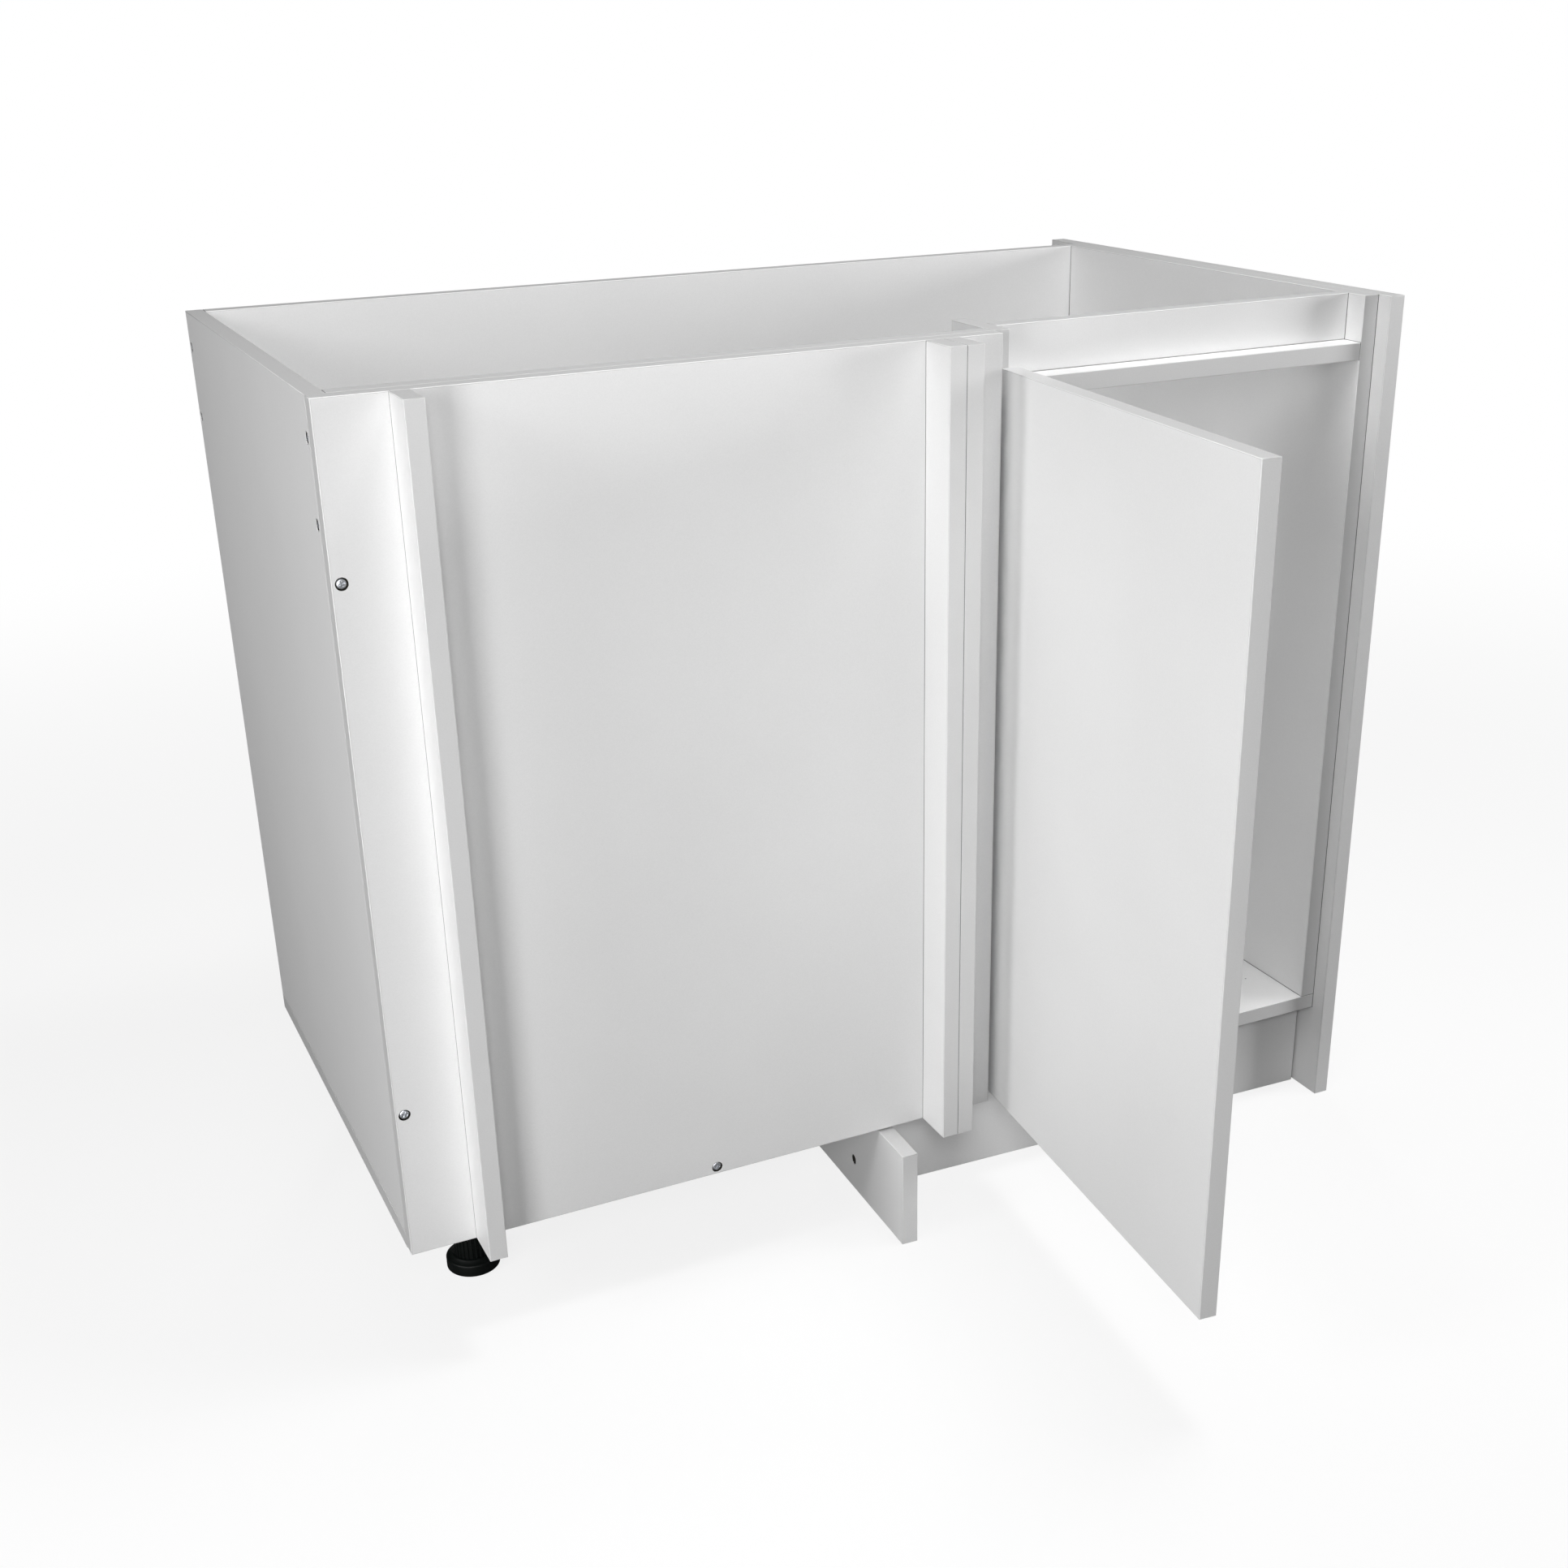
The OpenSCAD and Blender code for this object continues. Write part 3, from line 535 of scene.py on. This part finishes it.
def add_piece(name, mesh, body, slot, *stands_for):
    """A finished mesh as a piece that rides on a body and stands for CAD nodes."""
    piece = bpy.data.objects.new(name, mesh)
    bpy.context.scene.collection.objects.link(piece)
    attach(piece, body)
    if stands_for:
        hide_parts(*stands_for)
    return piece


def body_of(node):
    """Name of the body that a CAD node rides on."""
    bodies = frame["record"]["behaviour"]["bodies"]
    return next(name for name, members in bodies.items() if node in members)


def merged(name):
    """A copy of a CAD node's mesh with its loose triangles joined."""
    shape = bmesh.new()
    shape.from_mesh(NODES[name].data)
    bmesh.ops.remove_doubles(shape, verts=shape.verts, dist=MERGE)
    return shape


def islands(shape):
    """The vertices of each separate solid in a mesh, in the same order each run."""
    seen = set()
    for first in shape.verts:
        if first in seen:
            continue
        seen.add(first)
        found = [first]
        for vertex in found:
            for link in vertex.link_edges:
                other = link.other_vert(vertex)
                if other not in seen:
                    seen.add(other)
                    found.append(other)
        yield found


def screw_places(name, turn):
    """For each screw of a node: the head's underside, the way it faces, and its sizes."""
    straight = Matrix.Rotation(turn, 3, "Z")
    ways = [straight @ Vector(way) for way in ((1, 0, 0), (0, 1, 0), (0, 0, 1))]
    ways += [-way for way in ways]
    shape = merged(name)
    places = []
    for solid in islands(shape):
        points = [vertex.co.copy() for vertex in solid]
        middle = sum(points, Vector()) / len(points)
        tip = max(points, key=lambda p: (p - middle).length)
        way = max(ways, key=lambda w: w.dot(middle - tip))
        measured = [((p - tip).dot(way), ((p - tip) - (p - tip).dot(way) * way).length) for p in points]
        under, radius = max(measured, key=lambda pair: (round(pair[1], 5), -pair[0]))
        whole = max(along for along, aside in measured)
        places.append((tip + under * way, way, under, whole - under, radius))
    shape.free()
    return sorted(places, key=lambda place: tuple(place[0]))


def geometry_tree(name, inputs):
    """An empty Geometry Nodes tree with a geometry in and out and the named inputs."""
    tree = bpy.data.node_groups.new(name, "GeometryNodeTree")
    tree.interface.new_socket("Geometry", in_out="INPUT", socket_type="NodeSocketGeometry")
    for label, kind in inputs:
        tree.interface.new_socket(label, in_out="INPUT", socket_type="NodeSocket" + kind)
    tree.interface.new_socket("Geometry", in_out="OUTPUT", socket_type="NodeSocketGeometry")
    net = Net(tree)
    return net, net.add("NodeGroupInput").outputs, net.add("NodeGroupOutput").inputs


def moved(net, shape, z=0.0, x=0.0, rotation=(0.0, 0.0, 0.0), scale=(1.0, 1.0, 1.0)):
    """A geometry moved along Z and X inside a Geometry Nodes tree."""
    offset = net.add("ShaderNodeCombineXYZ", {"X": x, "Z": z}).outputs[0]
    sockets = {"Geometry": shape, "Translation": offset, "Rotation": rotation, "Scale": scale}
    return net.add("GeometryNodeTransform", sockets).outputs[0]


def joined(net, *shapes):
    """Several geometries as one inside a Geometry Nodes tree."""
    node = net.add("GeometryNodeJoinGeometry")
    for shape in reversed(shapes):
        net.tree.links.new(shape, node.inputs[0])
    return node.outputs[0]


def finish_tree(net, put, shape, material):
    """Ends a tree with real geometry in one material."""
    real = net.add("GeometryNodeRealizeInstances", {0: shape}).outputs[0]
    painted = net.add("GeometryNodeSetMaterial", {"Geometry": real, "Material": material})
    net.feed(put[0], painted.outputs[0])


def screw_tree():
    """Puts a screw with a domed head, a cross recess and a wound thread on each point."""
    net, given, put = geometry_tree("Screws", [
        ("Head radius", "Float"), ("Head height", "Float"), ("Shank radius", "Float"),
        ("Shank length", "Float"), ("Thread pitch", "Float"), ("Thread height", "Float"),
        ("Slot width", "Float"), ("Slot length", "Float"), ("Material", "Material"),
    ])
    radius, height = given["Head radius"], given["Head height"]
    skirt_h = net.math("MULTIPLY", height, 0.2)
    skirt = net.add("GeometryNodeMeshCylinder", {"Vertices": 28, "Radius": radius, "Depth": skirt_h})
    skirt = moved(net, skirt.outputs["Mesh"], net.math("MULTIPLY", skirt_h, 0.5))
    dome_scale = net.add("ShaderNodeCombineXYZ", {
        "X": 1.0, "Y": 1.0,
        "Z": net.math("DIVIDE", net.math("SUBTRACT", height, skirt_h), radius),
    }).outputs[0]
    dome = net.add("GeometryNodeMeshUVSphere", {"Segments": 28, "Rings": 12, "Radius": radius})
    dome = moved(net, dome.outputs["Mesh"], skirt_h, scale=dome_scale)
    # The dome's widest ring lies on the skirt's rim. The manifold solver closes such a head.
    head = net.add("GeometryNodeMeshBoolean", operation="UNION", solver="MANIFOLD")
    for shape in (dome, skirt):
        net.tree.links.new(shape, head.inputs["Mesh 2"])
    arm = net.math("MULTIPLY", net.math("MULTIPLY", radius, given["Slot length"]), 2.0)
    arm_w = net.math("MULTIPLY", radius, given["Slot width"])
    whole = {"Mesh 1": head.outputs["Mesh"]}
    cut = net.add("GeometryNodeMeshBoolean", whole, operation="DIFFERENCE", solver="MANIFOLD")
    for x, y in ((arm, arm_w), (arm_w, arm)):
        extent = net.add("ShaderNodeCombineXYZ", {"X": x, "Y": y, "Z": height}).outputs[0]
        bar = net.add("GeometryNodeMeshCube", {"Size": extent}).outputs["Mesh"]
        net.tree.links.new(moved(net, bar, net.math("MULTIPLY", height, 0.85)), cut.inputs["Mesh 2"])
    shank_r, shank_l = given["Shank radius"], given["Shank length"]
    core_r = net.math("SUBTRACT", shank_r, given["Thread height"])
    tip_l = net.math("MULTIPLY", shank_r, 2.0)
    body_l = net.math("SUBTRACT", shank_l, tip_l)
    body = net.add("GeometryNodeMeshCylinder", {"Vertices": 14, "Radius": core_r, "Depth": body_l})
    body = moved(net, body.outputs["Mesh"], net.math("MULTIPLY", body_l, -0.5))
    tip = net.add("GeometryNodeMeshCone", {
        "Vertices": 14, "Radius Top": core_r, "Radius Bottom": 0.0, "Depth": tip_l,
    })
    tip = moved(net, tip.outputs["Mesh"], net.math("MULTIPLY", shank_l, -1.0))
    turns = net.math("DIVIDE", body_l, given["Thread pitch"])
    winding = net.add("GeometryNodeCurveSpiral", {
        "Resolution": 12, "Rotations": turns, "Start Radius": core_r, "End Radius": core_r,
        "Height": body_l,
    })
    ridge = net.add("GeometryNodeCurvePrimitiveCircle", {
        "Resolution": 4, "Radius": given["Thread height"],
    })
    thread = net.add("GeometryNodeCurveToMesh", {
        "Curve": winding.outputs[0], "Profile Curve": ridge.outputs[0], "Fill Caps": True,
    })
    thread = moved(net, thread.outputs[0], net.math("MULTIPLY", body_l, -1.0))
    screw = joined(net, cut.outputs["Mesh"], body, tip, thread)
    turned = net.add("GeometryNodeInputNamedAttribute", {"Name": "rotation"}, data_type="FLOAT_VECTOR")
    rotation = net.add("FunctionNodeEulerToRotation", {0: turned.outputs[0]}).outputs[0]
    placed = net.add("GeometryNodeInstanceOnPoints", {
        "Points": net.add("GeometryNodeMeshToPoints", {"Mesh": given["Geometry"]}).outputs[0],
        "Instance": screw, "Rotation": rotation,
    })
    finish_tree(net, put, placed.outputs[0], given["Material"])
    return net.tree


def plain(carrier):
    """The mesh that an object's modifiers make. The object itself is removed."""
    graph = bpy.context.evaluated_depsgraph_get()
    mesh = bpy.data.meshes.new_from_object(carrier.evaluated_get(graph), depsgraph=graph)
    bpy.data.objects.remove(carrier)
    return mesh


def grown(name, seed_mesh, tree, **values):
    """Runs a Geometry Nodes tree on a mesh and gives the result as a plain mesh."""
    carrier = bpy.data.objects.new(name, seed_mesh)
    bpy.context.scene.collection.objects.link(carrier)
    pattern = carrier.modifiers.new("Pattern", "NODES")
    pattern.node_group = tree
    for socket in tree.interface.items_tree:
        label = socket.name.replace(" ", "_").lower()
        if socket.in_out == "INPUT" and label in values:
            pattern[socket.identifier] = values.pop(label)
    if values:
        raise RuntimeError(f"the tree {tree.name} has no input for {sorted(values)}")
    result = plain(carrier)
    result.name = name
    return result


def smooth(mesh, angle=math.radians(35)):
    """Shades a mesh smooth, apart from its sharp edges."""
    mesh.shade_smooth()
    mesh.set_sharp_from_angle(angle=angle)


def lathed(profile, steps):
    """A closed solid of revolution about Z from (radius, height) points that start and end on the axis."""
    shape = bmesh.new()
    rings = []
    for radius, height in profile:
        if radius < MERGE:
            rings.append([shape.verts.new((0.0, 0.0, height))])
            continue
        turns = [2 * math.pi * k / steps for k in range(steps)]
        rings.append([shape.verts.new((radius * math.cos(t), radius * math.sin(t), height)) for t in turns])
    for lower, upper in zip(rings, rings[1:]):
        for k in range(steps):
            after = (k + 1) % steps
            corners = [lower[k % len(lower)], lower[after % len(lower)],
                       upper[after % len(upper)], upper[k % len(upper)]]
            shape.faces.new(list(dict.fromkeys(corners)))
    bmesh.ops.recalc_face_normals(shape, faces=shape.faces)
    mesh = bpy.data.meshes.new("lathed")
    shape.to_mesh(mesh)
    shape.free()
    return mesh


def arc(centre, radius, start, end, steps=5):
    """Points of an arc in (radius, height) space, angles in degrees."""
    angles = [math.radians(start + (end - start) * k / steps) for k in range(steps + 1)]
    return [(centre[0] + radius * math.cos(a), centre[1] + radius * math.sin(a)) for a in angles]


def foot_profile(shape, base_radius, top):
    """Outline of the foot: flat sole, rounded rim, slope, low boss, grip's core and stem."""
    r = shape.rim_round
    sole = arc((base_radius - r, r), r, -90, 0)
    rim = arc((base_radius - r, shape.rim_height - r), r, 0, 80)
    boss_top = shape.rim_height + shape.slope_height
    boss = arc((shape.boss_radius - 0.8 * MM, boss_top - 0.2 * MM), 0.8 * MM, 40, 90, 3)
    core = shape.grip_radius - shape.rib_depth
    return (
        [(0.0, 0.0)] + sole + rim
        + [(shape.boss_radius + 1.2 * MM, boss_top - 1.0 * MM)] + boss
        + [(core, boss_top + 0.6 * MM)]
        + arc((core - 0.8 * MM, shape.grip_top - 0.8 * MM), 0.8 * MM, 0, 90, 3)
        + [(STEM_RADIUS, shape.grip_top), (STEM_RADIUS, top), (0.0, top)]
    )


def rib_tree():
    """Sets upright round-nosed ribs in a ring and moves the foot to its leg."""
    net, given, put = geometry_tree("Foot ribs", [
        ("Ribs", "Int"), ("Ring radius", "Float"), ("Rib radius", "Float"), ("Rib foot", "Float"),
        ("Rib top", "Float"), ("Place", "Vector"), ("Material", "Material"),
    ])
    tall = net.math("SUBTRACT", given["Rib top"], given["Rib foot"])
    shaft = net.add("GeometryNodeMeshCylinder", {
        "Vertices": 10, "Radius": given["Rib radius"], "Depth": tall,
    }).outputs["Mesh"]
    nose = net.add("GeometryNodeMeshUVSphere", {
        "Segments": 10, "Rings": 6, "Radius": given["Rib radius"],
    }).outputs["Mesh"]
    shaft = moved(net, shaft, net.math("ADD", given["Rib foot"], net.math("MULTIPLY", tall, 0.5)))
    rib = joined(net, shaft, moved(net, nose, given["Rib top"]))
    ring = net.add("GeometryNodeMeshCircle", {"Vertices": given["Ribs"], "Radius": given["Ring radius"]})
    ribs = net.add("GeometryNodeInstanceOnPoints", {"Points": ring.outputs[0], "Instance": rib})
    whole = joined(net, given["Geometry"], ribs.outputs[0])
    placed = net.add("GeometryNodeTransform", {"Geometry": whole, "Translation": given["Place"]})
    finish_tree(net, put, placed.outputs[0], given["Material"])
    return net.tree


def rounded(name, width, shortest, material):
    """A copy of a CAD node's mesh with its longer outer edges rounded and its flat faces shaded flat."""
    shape = merged(name)
    bmesh.ops.dissolve_limit(
        shape, angle_limit=math.radians(1.0), verts=shape.verts, edges=shape.edges,
        use_dissolve_boundaries=False,
    )
    sharp = [
        edge for edge in shape.edges
        if edge.is_convex and edge.calc_length() > shortest and edge.calc_face_angle() > math.radians(40)
    ]
    bmesh.ops.bevel(
        shape, geom=sharp, offset=width, offset_type="OFFSET", segments=3, profile=0.5, affect="EDGES",
        clamp_overlap=False,
    )
    mesh = bpy.data.meshes.new(name + "_plain")
    shape.to_mesh(mesh)
    shape.free()
    smooth(mesh)
    mesh.materials.append(material)
    carrier = bpy.data.objects.new(mesh.name, mesh)
    bpy.context.scene.collection.objects.link(carrier)
    weighing = carrier.modifiers.new("Weighing", "WEIGHTED_NORMAL")
    weighing.keep_sharp = True
    weighing.weight = 100
    result = plain(carrier)
    result.name = name + "_rounded"
    return result


class CABINET_OT_boards(Operator):
    """Face the boards, the door and the plinth with melamine and band their edges"""

    bl_idname = "cabinet.boards"
    bl_label = "Boards"

    def execute(self, context):
        look = context.scene.cabinet_boards
        for name in BOARDS:
            mesh = rounded(name, look.rounding, LONG_EDGE, board_material(name, look))
            add_piece(name + "_faced", mesh, body_of(name), SLOTS[name], name)
        mesh = rounded("back_panel", 0.3 * MM, LONG_EDGE, hardboard_material(look))
        add_piece("back_panel_faced", mesh, body_of("back_panel"), SLOTS["back_panel"], "back_panel")
        return {"FINISHED"}


class CABINET_OT_hinges(Operator):
    """Round the pressed edges of the hinges and plate them"""

    bl_idname = "cabinet.hinges"
    bl_label = "Hinges"

    def execute(self, context):
        look = context.scene.cabinet_steel
        nickel = metal_material("nickel_plate", look.nickel, 0.3)
        pin = metal_material("pin_steel", look.pin, 0.28)
        for name in STEEL_NODES:
            mesh = rounded(name, look.rounding, 0.9 * MM, nickel)
            add_piece(name + "_pressed", mesh, body_of(name), SLOTS[name], name)
        for name in PIN_NODES:
            dress(name, pin)
        return {"FINISHED"}


class CABINET_OT_screws(Operator):
    """Put cross-recessed, threaded screws where the model holds its screws"""

    bl_idname = "cabinet.screws"
    bl_label = "Screws"

    def execute(self, context):
        shape = context.scene.cabinet_screws
        zinc = metal_material("zinc_plate", context.scene.cabinet_steel.zinc, 0.42)
        tree = screw_tree()
        turned = {"cup_screws": own_turn("door"), "plinth_screw": own_turn("plinth_front")}
        for name in SCREW_NODES:
            places = screw_places(name, turned.get(name, 0.0))
            spots = bpy.data.meshes.new(name + "_spots")
            spots.from_pydata([place[0] for place in places], [], [])
            facing = spots.attributes.new("rotation", "FLOAT_VECTOR", "POINT")
            for k, place in enumerate(places):
                spin = Euler((0.0, 0.0, 2.4 * (shape.seed + k))).to_quaternion()
                facing.data[k].vector = (place[1].to_track_quat("Z", "Y") @ spin).to_euler()
            under, height, radius = places[0][2:]
            mesh = grown(
                name + "_turned", spots, tree, head_radius=radius, head_height=height,
                shank_radius=SHANK_RADIUS, shank_length=under, thread_pitch=shape.pitch,
                thread_height=shape.thread, slot_width=shape.slot_width,
                slot_length=shape.slot_length, material=zinc,
            )
            smooth(mesh)
            add_piece(name + "_turned", mesh, body_of(name), SLOTS[name], name)
        return {"FINISHED"}


class CABINET_OT_legs(Operator):
    """Mould the legs: plates and sleeves in their sockets, and feet with ribbed grips"""

    bl_idname = "cabinet.legs"
    bl_label = "Legs"

    def execute(self, context):
        shape = context.scene.cabinet_feet
        plastic = plastic_material(shape.plastic)
        for name in LEG_SOCKETS:
            mesh = rounded(name, shape.rounding, 1.5 * MM, plastic)
            add_piece(name + "_moulded", mesh, body_of(name), SLOTS[name], name)
        tree = rib_tree()
        for name in FEET:
            low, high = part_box(name)
            middle = (low + high) / 2
            body = lathed(foot_profile(shape, (high.x - low.x) / 2, high.z - low.z), 96)
            mesh = grown(
                name + "_moulded", body, tree, ribs=shape.ribs,
                ring_radius=shape.grip_radius - shape.rib_depth,
                rib_radius=shape.rib_depth, rib_foot=shape.rim_height,
                rib_top=shape.grip_top - 1.5 * shape.rib_depth,
                place=(middle.x, middle.y, low.z), material=plastic,
            )
            smooth(mesh)
            add_piece(name + "_moulded", mesh, body_of(name), SLOTS[name], name)
        return {"FINISHED"}


# Each lamp's place and its breadth, as a multiple of the studio's softness
LAMPS = {
    "key": ((-2.6, -2.4, 1.0), 2.4),
    "near": ((-0.8, -1.8, 1.4), 1.0),
    "top": ((0.4, -0.3, 2.6), 1.0),
    "side": ((-2.8, -0.5, 1.8), 1.6),
    "right": ((2.6, -1.2, 0.9), 1.6),
    "low": ((-1.6, -1.4, 0.4), 1.0),
    "back": ((1.4, 3.2, 0.5), 1.4),
}
LAMP_AIM = (0.0, 0.1, 0.45)


def add_lamp(name, place, watts, size):
    """A soft square lamp that looks at the cabinet's middle."""
    lamp = bpy.data.lights.new(name, "AREA")
    lamp.energy = watts
    lamp.shape = "SQUARE"
    lamp.size = size
    holder = bpy.data.objects.new(name, lamp)
    bpy.context.scene.collection.objects.link(holder)
    way = Vector(place) - Vector(LAMP_AIM)
    holder.location = place
    holder.rotation_mode = "QUATERNION"
    holder.rotation_quaternion = way.to_track_quat("Z", "Y")


def seen_directly(net):
    """1 where the camera finds a surface, and 0 where light does."""
    return net.add("ShaderNodeLightPath").outputs["Is Camera Ray"]


def floor_material(studio):
    """Pale paper that keeps the cabinet's shadow and shows nearly white to the camera."""
    material, net, shader, coords = new_material("studio_paper")
    shader.inputs["Roughness"].default_value = 0.9
    shader.inputs["Specular IOR Level"].default_value = 0.1
    seen = seen_directly(net)
    net.feed(shader.inputs["Base Color"], net.blend(seen, rgba(studio.floor), rgba(studio.paper)))
    glow = net.add("ShaderNodeEmission", {"Color": (1.0, 1.0, 1.0, 1.0), "Strength": 1.0}).outputs[0]
    distance = net.vector("LENGTH", coords["Object"])
    near_glow = net.ramp(distance, 1.2, studio.paper_fade, studio.paper_glow, 1.0)
    share_of_glow = net.math("MULTIPLY", seen, near_glow)
    both = net.add("ShaderNodeMixShader", {0: share_of_glow, 1: shader.outputs[0], 2: glow}).outputs[0]
    net.feed(material.node_tree.nodes["Material Output"].inputs["Surface"], both)
    return material


class CABINET_OT_stage(Operator):
    """Set up the floor, the lamps, the world and the camera"""

    bl_idname = "cabinet.stage"
    bl_label = "Studio"

    def execute(self, context):
        scene = context.scene
        studio, look = scene.cabinet_studio, scene.cabinet_view
        mesh = bpy.data.meshes.new("floor")
        corners = [(x * FLOOR_REACH, y * FLOOR_REACH, 0) for x, y in ((-1, -1), (1, -1), (1, 1), (-1, 1))]
        mesh.from_pydata(corners, [], [(0, 1, 2, 3)])
        mesh.materials.append(floor_material(studio))
        floor = bpy.data.objects.new("floor", mesh)
        scene.collection.objects.link(floor)
        for name, (place, breadth) in LAMPS.items():
            add_lamp(name + "_lamp", place, getattr(studio, name), breadth * studio.softness)
        world = bpy.data.worlds.new("studio")
        scene.world = world
        world.use_nodes = True
        net = Net(world.node_tree)
        background = world.node_tree.nodes["Background"]
        background.inputs["Color"].default_value = (1.0, 1.0, 1.0, 1.0)
        strength = net.add("ShaderNodeMix", {0: seen_directly(net), 2: studio.ambient, 3: 1.0})
        net.feed(background.inputs["Strength"], strength.outputs[0])
        scene.view_settings.view_transform = "Standard"
        camera = bpy.data.cameras.new("camera")
        camera.lens = look.lens
        camera.sensor_width = 36.0
        camera.shift_x = look.shift_x
        camera.shift_y = look.shift_y
        camera.clip_end = 200.0
        holder = bpy.data.objects.new("camera", camera)
        scene.collection.objects.link(holder)
        aim = Matrix.Rotation(-look.heading, 4, "Z") @ Matrix.Rotation(math.pi / 2 - look.dip, 4, "X")
        holder.matrix_world = Matrix.Translation(look.place) @ aim @ Matrix.Rotation(look.roll, 4, "Z")
        scene.camera = holder
        return {"FINISHED"}


class CABINET_PT_panel(Panel):
    """Lists the steps that dress the cabinet"""

    bl_idname = "CABINET_PT_panel"
    bl_label = "Corner base cabinet"
    bl_space_type = "VIEW_3D"
    bl_region_type = "UI"
    bl_category = "Cabinet"

    def draw(self, context):
        for step in STEPS:
            self.layout.operator(step.bl_idname)
        for name, group_class in SETTINGS.items():
            box = self.layout.box()
            settings = getattr(context.scene, name)
            for field in group_class.__annotations__:
                box.prop(settings, field)


STEPS = (
    CABINET_OT_boards, CABINET_OT_hinges, CABINET_OT_screws, CABINET_OT_legs, CABINET_OT_stage,
)
SETTINGS = {
    "cabinet_boards": BoardLook,
    "cabinet_steel": SteelLook,
    "cabinet_screws": ScrewShape,
    "cabinet_feet": FootShape,
    "cabinet_studio": Studio,
    "cabinet_view": Viewpoint,
}


def register():
    for name, settings in SETTINGS.items():
        bpy.utils.register_class(settings)
        setattr(bpy.types.Scene, name, PointerProperty(type=settings))
    for item in (*STEPS, CABINET_PT_panel):
        bpy.utils.register_class(item)


def unregister():
    for item in reversed((*STEPS, CABINET_PT_panel)):
        bpy.utils.unregister_class(item)
    for name, settings in reversed(SETTINGS.items()):
        delattr(bpy.types.Scene, name)
        bpy.utils.unregister_class(settings)


def main():
    register()
    bpy.ops.cabinet.boards()
    bpy.ops.cabinet.hinges()
    bpy.ops.cabinet.screws()
    bpy.ops.cabinet.legs()
    bpy.ops.cabinet.stage()


if __name__ == "__main__":
    main()
